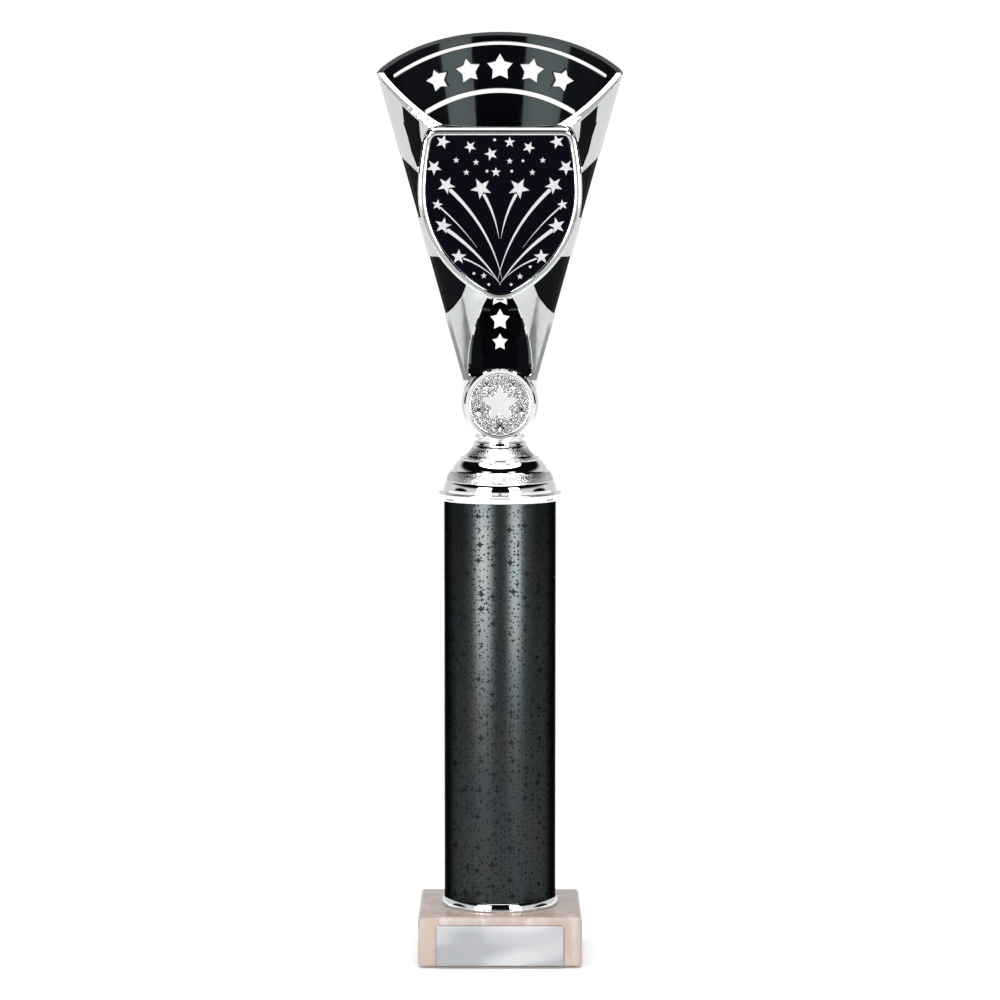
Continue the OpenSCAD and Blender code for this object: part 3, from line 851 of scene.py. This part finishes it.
        low = fan.bottom - c.spigot_h
        before = set(bm.faces)
        drawn_on(bm, [level(spigot - 0.4 * MM, low), level(spigot, low + 0.4 * MM),
                      level(spigot, fan.bottom), level(hw, fan.bottom),
                      level(hw + 0.2 * MM, fan.bottom + 1.5 * MM)])
        made = [f for f in bm.faces if f not in before]
        bmesh.ops.recalc_face_normals(bm, faces=made)
        skin = bm.faces.layers.int["skin"]
        for f in made:
            f[skin] = EDGE
            f.material_index = 1 if f.calc_center_median().z > fan.bottom + 1.4 * MM else 0

    def set_normals(self, obj, fan):
        """Gives the curved faces the true normals of their cones, and the edges soft shading."""
        shaded(obj, 24.0)
        mesh = obj.data
        skin = mesh.attributes["skin"].data
        normals = [Vector((0, 0, 0))] * len(mesh.loops)
        strip = settings("cup").side_strip
        for poly in mesh.polygons:
            kind = skin[poly.index].value
            poly.use_smooth = True
            if kind == EDGE:
                continue
            for i in poly.loop_indices:
                p = mesh.vertices[mesh.loops[i].vertex_index].co
                middle = poly.center
                if kind == OUTSIDE and abs(middle.x) > fan.edge_x(middle.z) - strip:
                    normals[i] = poly.normal.copy()
                    continue
                limit = fan.edge_x(p.z) - strip
                x = max(-limit, min(limit, p.x))
                normal = fan.skin(x, p.z)[1]
                if middle.y > 0:
                    normal = Vector((normal.x, -normal.y, normal.z))
                if normal.dot(poly.normal) < 0:
                    normal = -normal
                normals[i] = normal
        mesh.normals_split_custom_set([tuple(n) for n in normals])


class TROPHY_OT_shield(bpy.types.Operator):
    """Shield: its plated frame with the skirt and pegs, the dark label and its silver print"""
    bl_idname = "trophy.shield"
    bl_label = "Shield"

    def execute(self, context):
        fan = Fan()
        s = settings("shield")
        tip = fan.bottom + s.up
        lean = fan.wall_angle
        start = Vector((0, -(tip - fan.apex) * tan(lean), tip))
        place = Matrix.Translation(start) @ Matrix.Rotation(pi / 2 + lean, 4, "X")
        outline = self.outline()
        frame_top = s.seat + s.frame_h
        label_top = s.seat + s.label_t

        def level(inset_by, w):
            return [place @ Vector((p.x, p.y, w)) for p in inset(outline, inset_by)]

        def on_wall(inset_by):
            """The loop where the skirt meets the cup's wall."""
            loop = []
            for p in inset(outline, inset_by):
                w = 0.0
                for _ in range(12):
                    q = place @ Vector((p.x, p.y, w))
                    w += (q.y + fan.cone_y(q.x, q.z)) / cos(lean)
                loop.append(place @ Vector((p.x, p.y, w)))
            return loop

        bm = bmesh.new()
        steps = [(0.0, frame_top - 1.25 * MM), (0.06 * MM, frame_top - 1.0 * MM),
                 (0.7 * MM, frame_top - 0.35 * MM), (0.95 * MM, frame_top - 0.28 * MM),
                 (1.02 * MM, frame_top - 0.42 * MM), (1.14 * MM, frame_top - 0.42 * MM),
                 (1.22 * MM, frame_top - 0.12 * MM), (1.45 * MM, frame_top),
                 (2.35 * MM, frame_top), (2.7 * MM, frame_top - 0.14 * MM),
                 (2.86 * MM, frame_top - 0.4 * MM), (s.frame_w, frame_top - 0.6 * MM),
                 (s.frame_w, s.seat)]
        loops = [level(1.6 * MM, 1.0 * MM), on_wall(1.6 * MM), on_wall(0.0)]
        loops += [level(i, w) for i, w in steps]
        drawn_on(bm, loops)
        for h in PEG_HEIGHTS:
            pegs = [[place @ Vector((p.x, p.y, w)) for p in circle((0, h * MM), r)]
                    for r, w in ((1.7 * MM, -4.2 * MM), (2 * MM, -3.9 * MM), (2 * MM, 1.2 * MM))]
            drawn_on(bm, pegs)
        piece("shield_surround", closed(bm), [frame_plating()],
              ["shield_frame"], 24.0)

        bm = bmesh.new()
        gap = s.frame_w + 0.15 * MM
        drawn_on(bm, [level(gap, s.seat + 0.3 * MM), level(gap, label_top - 0.05 * MM),
                      level(gap + 0.05 * MM, label_top)])
        piece("label_field", closed(bm), [printed_black()], ["shield_label"])
        self.printed(place, label_top, label_top + s.print_t)
        return {"FINISHED"}

    def outline(self):
        """The shield's edge in its own plane, counterclockwise from the tip."""
        right = [Vector((0, 0))]
        right += bezier([(0, 0), (3, 0), (5, 0.8), (7.5, 2.3)], 6)
        right += bezier([(7.5, 2.3), (21, 10), (32.3, 25), (32.3, 43)], 24)
        right += bezier([(32.3, 43), (32.3, 51), (31.2, 57), (30.4, 62)], 8)
        right += bezier([(30.4, 62), (29.6, 66.5), (28, 68.6), (24, 68.6)], 12)
        right += [Vector((x, 68.6)) for x in (16, 8)]
        left = [Vector((-p.x, p.y)) for p in reversed(right[1:])]
        return [p * MM for p in right + [Vector((0, 68.6))] + left]

    def printed(self, place, low, high):
        """Stars, dots and tapering trails, with x across and y up the label."""
        mirrored_stars = [(-22.4, 63.1, 2.9, 0), (-25.9, 53.0, 3.15, -90), (-21.1, 45.9, 3.6, 62),
                          (-7.4, 44.7, 4.3, -98), (-24.6, 38.2, 2.2, 80), (-22.4, 29.9, 3.4, 77),
                          (-16.3, 17.5, 3.1, 87)]
        stars = mirrored_stars + [(-x, y, r, 180 - turn) for x, y, r, turn in mirrored_stars]
        stars += [(-11.7, 61.2, 2.45, -97), (-3.5, 58.3, 2.7, 180), (-1.6, 51.1, 2.0, 90),
                  (3.8, 62.9, 2.2, 90), (11.3, 60.9, 2.5, -80)]
        stars += [(x, y, 1.3, 90) for x, y in ((-17.2, 55.8), (-9.4, 55), (-13.2, 51), (-6.4, 9.9),
                                                (3.8, 55.5), (16.8, 55.8), (12.7, 51), (7.9, 9.6))]
        dots = [(-2.1, 63.9), (-5.1, 51.5), (-10.3, 10.8), (-4.4, 6.4), (9, 55.6), (4.6, 51.5),
                (11.9, 13.5), (4.4, 6.4)]
        trails = [((-19.3, 43.8), (-3.8, 29), (0.8, 8.5), 1.45),
                  ((-6.2, 42), (-1.9, 34.4), (-0.4, 24.8), 1.2),
                  ((-23.4, 37), (-15.2, 29.8), (-9.1, 21.2), 0.63),
                  ((-20.3, 27.9), (-7.6, 18.9), (0.3, 6.2), 1.5),
                  ((-14.2, 16.7), (-6.4, 13.9), (-0.6, 7.5), 0.7)]
        outlines = [star((x, y), r, 0.41, turn) for x, y, r, turn in stars]
        outlines += [circle(p, 0.55, 16) for p in dots]
        for trail in trails:
            left = self.trail(*trail)
            outlines += [left, both(left)]
        bm = bmesh.new()
        for i, outline in enumerate(outlines):
            # Tops that overlap lie a thousandth of a millimetre apart, so that none coincide
            top = high + (i % 4) * 0.001 * MM
            drawn_on(bm, [[place @ Vector((p.x * MM, p.y * MM, w)) for p in outline]
                          for w in (low, top)])
        piece("label_print", closed(bm), [printed_silver()])

    def trail(self, start, control, end, width, steps=22):
        """A curve that is round and full width at its start and thin at its end."""
        path = [Vector(start)] + bezier([start, control, end], steps)
        sides = ([], [])
        for i, p in enumerate(path):
            way = (path[min(i + 1, steps)] - path[max(i - 1, 0)]).normalized()
            across = Vector((-way.y, way.x))
            half = max(0.05, width / 2 * (1 - i / steps) ** 0.8)
            sides[0].append(p - across * half)
            sides[1].append(p + across * half)
        way = (path[1] - path[0]).normalized()
        across = Vector((-way.y, way.x))
        nose = [path[0] + width / 2 * (across * cos(q) - way * sin(q))
                for q in (pi * i / 6 for i in range(1, 6))]
        return sides[0] + sides[1][::-1] + nose


class TROPHY_OT_drum(bpy.types.Operator):
    """Centre holder: the drum on its neck, and the struck disc with its stars"""
    bl_idname = "trophy.drum"
    bl_label = "Drum and disc"

    def execute(self, context):
        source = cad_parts["centre_holder"].data
        bm = bmesh.new()
        bm.from_mesh(source)
        bmesh.ops.remove_doubles(bm, verts=bm.verts, dist=1e-6)
        piece("drum", bm, [bright_chrome()], ["centre_holder"], 30.0)
        self.disc()
        return {"FINISHED"}

    def disc(self):
        axis_z = (DISC[0].z + DISC[1].z) / 2
        front, back = DISC[0].y / MM, DISC[1].y / MM
        r = (DISC[1].x - DISC[0].x) / 2 / MM - 0.25
        field = back - (back - front) * 0.55
        rows = 34
        # The profile runs along the disc's axis, which spin lays level with its front to -Y
        profile = [(0, -back), (r - 0.2, -back), (r, -back + 0.2), (r, -front - 0.25),
                   (r - 0.08, -front - 0.06), (r - 0.18, -front), (r - 0.3, -front - 0.05),
                   (r - 0.38, -front - 0.35)]
        rim_r = r - 0.42
        profile += [(rim_r * (1 - i / rows), -field) for i in range(rows)]
        profile += [(0, -field)]
        bm = turned(profile, 240, axis_z)
        for v in bm.verts:
            out = hypot(v.co.x, v.co.z - axis_z)
            if abs(v.co.y - field * MM) < 1e-6 and out < (rim_r - 0.1) * MM:
                v.co.y += pebble(v.co, 0.5) * 0.1 * MM
        for f in bm.faces:
            middle = f.calc_center_median()
            out = hypot(middle.x, middle.z - axis_z) / MM
            f.material_index = out < rim_r and middle.y < (front + back) / 2 * MM
        self.star_on(bm, axis_z, 0, 0, 8.1, 0.5, 90, field, front + 0.05, flat=True)
        for i in range(5):
            q = radians(-90 + 72 * i)
            self.star_on(bm, axis_z, 9.0 * cos(q), 9.0 * sin(q), 2.3, 0.45, degrees(q), field,
                         front + 0.15, flat=False)
        # Painted shade: the struck field takes a darker copy of the hammered chrome, 0.48 of its
        # brightness
        finishes = [bright_chrome(), hammered("hammered_field", 0.48, 0.07)]
        piece("struck_disc", closed(bm), finishes, ["centre_disc"], 28.0)

    def star_on(self, bm, axis_z, x, z, r, waist, turn, low, high, flat):
        """A raised star: flat on top with a bevelled edge, or five roof-shaped arms."""
        outline = star((x, z), r, waist, turn)

        def level(points, y):
            return [Vector((p.x * MM, y * MM, axis_z + p.y * MM)) for p in points]

        mid = low + (high - low) * 0.4
        if flat:
            drawn_on(bm, [level(outline, low + 0.1), level(outline, mid),
                          level(inset(outline, 0.3), high)])
        else:
            peak = [Vector((x, z)).lerp(p, 0.02) for p in outline]
            drawn_on(bm, [level(outline, low + 0.1), level(outline, low - 0.05),
                          level(peak, high - 0.2)])


def pebble(p, cell):
    """Height from 0 to 1 of a surface of small rounded grains, cell millimetres apart."""
    spot = Vector(p) / (cell * MM)
    near = noise.voronoi(spot, distance_metric="DISTANCE", exponent=2.5)[0]
    return (near[1] - near[0]) * 1.2 + 0.35 * noise.noise(spot * 2.3)


class TROPHY_OT_riser(bpy.types.Operator):
    """Riser: plain and hammered bands from the wide foot up to the neck"""
    bl_idname = "trophy.riser"
    bl_label = "Riser"

    def execute(self, context):
        z = RISER[0].z / MM
        h = (RISER[1].z - RISER[0].z) / MM
        foot = RISER[1].x / MM - 0.02
        neck = 10.3
        k = h / 20.4

        def rows(a, b, sag, count):
            return [(p.x, p.y) for p in arc(a, b, sag, count)]

        low_band = rows((foot - 0.95, 4.95 * k), (foot - 2.6, 8.35 * k), 0.25, 12)
        high_band = rows((foot - 8.2, 14.6 * k), (neck + 0.75, 18.0 * k), -0.3, 14)
        profile = [(4.2, 0), (foot - 0.3, 0), (foot, 0.25), (foot, 1.3 * k)]
        profile += rows((foot, 1.45 * k), (foot - 0.9, 4.3 * k), 0.2, 6)
        profile += [(foot - 1.05, 4.45 * k), (foot - 1.25, 4.55 * k), (foot - 1.25, 4.75 * k),
                    (foot - 1.05, 4.85 * k)]
        profile += low_band
        profile += [(foot - 2.75, 8.5 * k), (foot - 3.05, 8.6 * k), (foot - 3.3, 8.65 * k)]
        profile += rows((foot - 3.4, 8.8 * k), (foot - 6.9, 13.2 * k), 0.5, 12)
        profile += [(foot - 6.75, 13.35 * k), (foot - 6.5, 13.5 * k), (foot - 6.42, 13.7 * k),
                    (foot - 6.5, 13.9 * k), (foot - 6.8, 14.05 * k), (foot - 7.5, 14.15 * k),
                    (foot - 7.9, 14.3 * k)]
        profile += high_band
        profile += [(neck + 0.6, 18.15 * k), (neck + 0.55, 18.5 * k), (neck + 0.3, 18.7 * k),
                    (neck + 0.05, 18.9 * k), (neck, 19.1 * k), (neck, h - 0.6),
                    (neck - 0.15, h - 0.25), (neck - 0.5, h - 0.05), (neck - 0.7, h), (4.2, h)]
        bm = turned([(r, z + up) for r, up in profile], 288)
        bands = [(z + 5.0 * k, z + 8.3 * k), (z + 14.7 * k, z + 17.9 * k)]
        for v in bm.verts:
            out = Vector((v.co.x, v.co.y, 0))
            level = v.co.z / MM
            if out.length > 9 * MM and any(a < level < b for a, b in bands):
                v.co += out.normalized() * (pebble(v.co, 0.55) - 0.75) * 0.15 * MM
        for f in bm.faces:
            middle = f.calc_center_median()
            outside = hypot(middle.x, middle.y) > 9 * MM
            f.material_index = outside and any(a < middle.z / MM < b for a, b in bands)
        # Painted shade: the hammered bands take a lighter copy of the same finish, 0.85 of the
        # chrome's brightness
        finishes = [bright_chrome(), hammered("hammered_band", 0.85, 0.12)]
        piece("banded_riser", closed(bm), finishes, ["riser_dome"], 50.0)
        return {"FINISHED"}


class TROPHY_OT_column(bpy.types.Operator):
    """Column: the foil-wrapped tube with its rolled bottom ring and flared top collar"""
    bl_idname = "trophy.column"
    bl_label = "Column"

    def execute(self, context):
        steps = settings("column").turns
        r = FOIL[1].x / MM
        low, high = FOIL[0].z / MM, FOIL[1].z / MM
        self.foil(r, low, high)
        z = RING[0].z / MM
        top = RING[1].z / MM
        reach = RING[1].x / MM - 0.02
        belly = (reach, z + 0.32 * (top - z))
        ring = [(3.4, z), (reach - 0.6, z), (reach - 0.35, z + 0.05)]
        ring += [tuple(p) for p in arc((reach - 0.25, z + 0.12), belly, 0.12, 6)]
        ring += [tuple(p) for p in arc(belly, (r + 0.3, top - 0.1), 0.14, 10)[1:]]
        ring += [(r + 0.22, top), (r + 0.1, top - 0.03), (r + 0.08, z + 1), (3.4, z + 1)]
        piece("rolled_ring", turned(ring, steps), [bright_chrome()],
              ["bottom_ring"], 50.0)
        z, top = COLLAR[0].z / MM, COLLAR[1].z / MM
        reach = COLLAR[1].x / MM - 0.02
        collar = [(3.4, top - 1), (r + 0.15, top - 1), (r + 0.15, z + 0.1), (r + 0.2, z),
                  (r + 0.35, z), (r + 0.75, z + 0.45), (r + 0.92, z + 0.8), (r + 0.95, z + 1.2)]
        collar += [tuple(p) for p in arc((r + 1.0, z + 1.4), (reach - 0.05, top - 0.62), -0.16, 6)]
        collar += [(reach, top - 0.45), (reach, top - 0.25), (reach - 0.12, top - 0.08),
                   (reach - 0.35, top), (3.4, top)]
        piece("flared_collar", turned(collar, steps), [bright_chrome()],
              ["top_collar"], 50.0)
        return {"FINISHED"}

    def foil(self, r, low, high):
        """The film goes once around the tube and overlaps itself by 6 mm at the back."""
        inner = r - 0.2
        bm = turned([(inner, low), (r - 0.06, low), (r, low + 0.06), (r, high - 0.06),
                     (r - 0.06, high), (inner, high)], 180)
        lap = 3.0 / r
        under = 1 - 0.05 / r
        for v in bm.verts:
            out = hypot(v.co.x, v.co.y)
            behind = abs(atan2(v.co.x, v.co.y))
            if behind > lap and out > (r - 0.03) * MM:
                v.co.x *= under
                v.co.y *= under
        wrap = bm.loops.layers.uv.new("wrap")
        for f in bm.faces:
            middle = f.calc_center_median()
            base = atan2(middle.x, -middle.y)
            for loop in f.loops:
                q = atan2(loop.vert.co.x, -loop.vert.co.y)
                q += 2 * pi * round((base - q) / (2 * pi))
                loop[wrap].uv = (q * r * MM, loop.vert.co.z)
        piece("wrapped_foil", bm, [star_foil()], ["tube_foil"], 40.0)


class TROPHY_OT_base(bpy.types.Operator):
    """Base: the polished marble block and the metal plate on its front"""
    bl_idname = "trophy.base"
    bl_label = "Base"

    def execute(self, context):
        bm = slab(*BASE)
        bevelled(bm, bm.edges[:], 1.8, 6)
        block = piece("marble_block", closed(bm), [pink_marble()], ["marble_base"], 60.0)
        self.bored(block)

        bm = slab(*PLATE)
        corners = [e for e in bm.edges if abs(e.verts[0].co.y - e.verts[1].co.y) > 0.1 * MM]
        bevelled(bm, corners, 0.7, 4)
        # A narrow ring of faces around the front keeps the shading of its middle flat
        front = [f for f in bm.faces if f.normal.y < -0.9]
        bmesh.ops.inset_region(bm, faces=front, thickness=0.12 * MM, depth=0.0,
                               use_boundary=True, use_even_offset=True)
        rim = [e for e in bm.edges if len(e.link_faces) == 2 and e.calc_face_angle(0) > 1.2
               and min(v.co.y for v in e.verts) < PLATE[0].y + 0.01 * MM]
        bevelled(bm, rim, 0.1, 2)
        piece("blank_plate", closed(bm), [plate_metal()], ["engraving_plate"], 40.0)
        return {"FINISHED"}

    def bored(self, block):
        """Cuts the rod's hole and the well for its nut into the underside."""
        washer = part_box("base_washer")
        rod_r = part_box("tie_rod")[1].x / MM
        well_r = washer[1].x / MM
        low = BASE[0].z - 2 * MM
        tools = []
        for r, high in ((rod_r + 0.3, BASE[1].z + 2 * MM), (well_r + 2, washer[1].z)):
            bm = bmesh.new()
            bmesh.ops.create_cone(bm, cap_ends=True, segments=48, radius1=r * MM, radius2=r * MM,
                                  depth=high - low)
            bmesh.ops.translate(bm, vec=(0, 0, (low + high) / 2), verts=bm.verts)
            tool = linked("bore", bm)
            tools.append(tool)
            cut = block.modifiers.new("bore", "BOOLEAN")
            cut.operation = "DIFFERENCE"
            cut.solver = "EXACT"
            cut.object = tool
        view = bpy.context.evaluated_depsgraph_get()
        cut_mesh = bpy.data.meshes.new_from_object(block.evaluated_get(view))
        block.modifiers.clear()
        block.data = cut_mesh
        for tool in tools:
            bpy.data.objects.remove(tool)
        shaded(block, 40.0)


class TROPHY_OT_inside(bpy.types.Operator):
    """Finishes of the pieces inside and underneath, which keep their shapes"""
    bl_idname = "trophy.inside"
    bl_label = "Pieces inside"

    def execute(self, context):
        zinc = simple("zinc_steel", (0.62, 0.62, 0.6), 1.0, 0.32, 1.5, 0.01)
        tape = simple("foam_tape", (0.8, 0.8, 0.78), 0.0, 0.8, 3.0, 0.08)
        bung = simple("moulded_bung", (0.06, 0.06, 0.065), 0.0, 0.5, 2.0, 0.03)
        finishes = {
            "base_felt": felt(),
            "plate_tape": tape,
            "disc_pad": tape,
            "label_tape": tape,
            "tube_core": simple("card", (0.42, 0.29, 0.17), 0.0, 0.9, 0.8, 0.06),
            "lower_bung": bung,
            "upper_bung": bung,
            "cup_insert": simple("brass", (0.78, 0.55, 0.22), 1.0, 0.25, 1.0, 0.01),
            "shield_clips": simple("spring_steel", (0.35, 0.35, 0.37), 1.0, 0.35, 2.0, 0.01),
            "tie_rod": zinc,
            "base_nut": zinc,
            "base_washer": zinc,
            "lock_washer": simple("blued_steel", (0.1, 0.1, 0.12), 1.0, 0.4, 2.0, 0.01),
        }
        for name, mat in finishes.items():
            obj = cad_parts[name]
            if not obj.material_slots:
                obj.data.materials.append(None)
            for slot in obj.material_slots:
                slot.material = mat
        return {"FINISHED"}


class TROPHY_OT_stage(bpy.types.Operator):
    """Pale floor, soft studio light and the camera"""
    bl_idname = "trophy.stage"
    bl_label = "Stage"

    def execute(self, context):
        s = settings("stage")
        scene = context.scene
        scene.view_settings.view_transform = "Standard"
        self.camera(scene, s)
        self.world(scene)
        self.sheet("floor", (0, -2.2), (10, 7.2), 0, 0.92, 0.7)
        self.card("runner", (0, -1.65), (0.20, 2.3), 0.30)
        for side in (-1, 1):
            self.card("side_card", (side * 0.62, -0.22), (0.16, 0.4), 0.25)
            self.card("back_card", (side * 0.60, 0.34), (0.35, 0.35), 0.35)
        for side, bearing, width in (("left", -34, 0.40), ("right", 31, 0.28)):
            self.softbox(side + "_low_box", bearing, 0.175, width, 0.19, 2.6 * width)
            self.softbox(side + "_high_box", bearing, 0.75, width, 0.60, 10 * width)
        sun = bpy.data.lights.new("ceiling", "SUN")
        sun.energy = 3.4
        sun.angle = radians(60)
        scene.collection.objects.link(bpy.data.objects.new("ceiling", sun))
        return {"FINISHED"}

    def sheet(self, name, middle, size, height, grey, roughness):
        """A level sheet of paper; its middle and its size are in metres, in x and y."""
        bm = bmesh.new()
        bmesh.ops.create_grid(bm, x_segments=1, y_segments=1, size=0.5)
        bmesh.ops.scale(bm, vec=(*size, 1), verts=bm.verts)
        bmesh.ops.translate(bm, vec=(*middle, height), verts=bm.verts)
        paper = linked(name, bm)
        paper.data.materials.append(finish(name, (grey, grey, grey), 0.0, roughness)[0])
        return paper

    def card(self, name, middle, size, grey):
        """A darker sheet on the floor, seen only as a reflection in the plating."""
        paper = self.sheet(name, middle, size, 1 * MM, grey, 0.8)
        paper.visible_camera = False
        paper.visible_shadow = False

    def camera(self, scene, s):
        data = bpy.data.cameras.new("camera")
        data.lens = s.lens
        data.sensor_width = 36
        data.clip_start = 0.05
        data.clip_end = 50
        camera = bpy.data.objects.new("camera", data)
        back = Vector((0, -cos(s.elevation), sin(s.elevation)))
        camera.location = Vector((0, 0, s.aim)) + back * s.distance
        camera.rotation_euler = (-back).to_track_quat("-Z", "Y").to_euler()
        scene.collection.objects.link(camera)
        scene.camera = camera

    def softbox(self, name, bearing, height, width, tall, power, distance=0.7):
        """An upright area light that faces the trophy's axis; bearing 0 is straight in front."""
        data = bpy.data.lights.new(name, "AREA")
        data.shape = "RECTANGLE"
        data.size = width
        data.size_y = tall
        data.energy = power
        data.spread = radians(80)
        lamp = bpy.data.objects.new(name, data)
        q = radians(bearing)
        lamp.location = (distance * sin(q), -distance * cos(q), height)
        way = Vector((0, 0, height)) - lamp.location
        lamp.rotation_euler = way.to_track_quat("-Z", "Y").to_euler()
        lamp.visible_camera = False
        bpy.context.scene.collection.objects.link(lamp)

    def world(self, scene):
        """White to the camera; to the trophy a bright room with darker gaps between panels."""
        world = bpy.data.worlds.new("studio")
        scene.world = world
        world.use_nodes = True
        tree = world.node_tree
        tree.nodes.clear()
        way = add_node(tree, "ShaderNodeSeparateXYZ",
                       {0: add_node(tree, "ShaderNodeTexCoord").outputs["Generated"]})
        x, y, z = way.outputs
        side = calc(tree, "ABSOLUTE", x)
        behind = ramped(tree, y, 0.25, 0.45, 0.0, 1.0)
        low = ramped(tree, z, 0.35, 0.5, 1.0, 0.0)
        sides = calc(tree, "MULTIPLY", ramped(tree, side, 0.55, 0.62),
                     ramped(tree, side, 0.93, 0.97, 1.0, 0.0))
        bright = calc(tree, "MAXIMUM", calc(tree, "MULTIPLY", behind, low),
                      calc(tree, "MULTIPLY", sides, low))
        level = ramped(tree, bright, 0, 1, 0.004, 0.72)
        room = add_node(tree, "ShaderNodeBackground", {0: (0.97, 0.985, 1.0, 1), 1: level})
        white = add_node(tree, "ShaderNodeBackground", {0: (1, 1, 1, 1), 1: 1.0})
        seen = add_node(tree, "ShaderNodeLightPath").outputs["Is Camera Ray"]
        mix = add_node(tree, "ShaderNodeMixShader", {0: seen, 1: room.outputs[0],
                                                     2: white.outputs[0]})
        add_node(tree, "ShaderNodeOutputWorld", {0: mix.outputs[0]})


class TROPHY_PT_panel(bpy.types.Panel):
    """Lists the pieces of the trophy and the sizes that shape them"""
    bl_idname = "TROPHY_PT_panel"
    bl_label = "Column trophy"
    bl_space_type = "VIEW_3D"
    bl_region_type = "UI"
    bl_category = "Trophy"

    def draw(self, context):
        for operator in OPERATORS:
            self.layout.operator(operator.bl_idname)
        for name in SETTINGS:
            group = getattr(context.scene, name)
            for key in group.bl_rna.properties.keys():
                if key not in ("name", "rna_type"):
                    self.layout.prop(group, key)


SETTINGS = {
    "trophy_cup": CupSettings,
    "trophy_shield": ShieldSettings,
    "trophy_column": ColumnSettings,
    "trophy_stage": StageSettings,
}
OPERATORS = (TROPHY_OT_base, TROPHY_OT_column, TROPHY_OT_riser, TROPHY_OT_drum, TROPHY_OT_cup,
             TROPHY_OT_shield, TROPHY_OT_inside, TROPHY_OT_stage)


def register():
    for cls in (*SETTINGS.values(), *OPERATORS, TROPHY_PT_panel):
        bpy.utils.register_class(cls)
    for name, cls in SETTINGS.items():
        setattr(bpy.types.Scene, name, PointerProperty(type=cls))


def unregister():
    for name in SETTINGS:
        delattr(bpy.types.Scene, name)
    for cls in reversed((*SETTINGS.values(), *OPERATORS, TROPHY_PT_panel)):
        bpy.utils.unregister_class(cls)


def main():
    register()
    for operator in OPERATORS:
        group, name = operator.bl_idname.split(".")
        getattr(getattr(bpy.ops, group), name)()


if __name__ == "__main__":
    main()
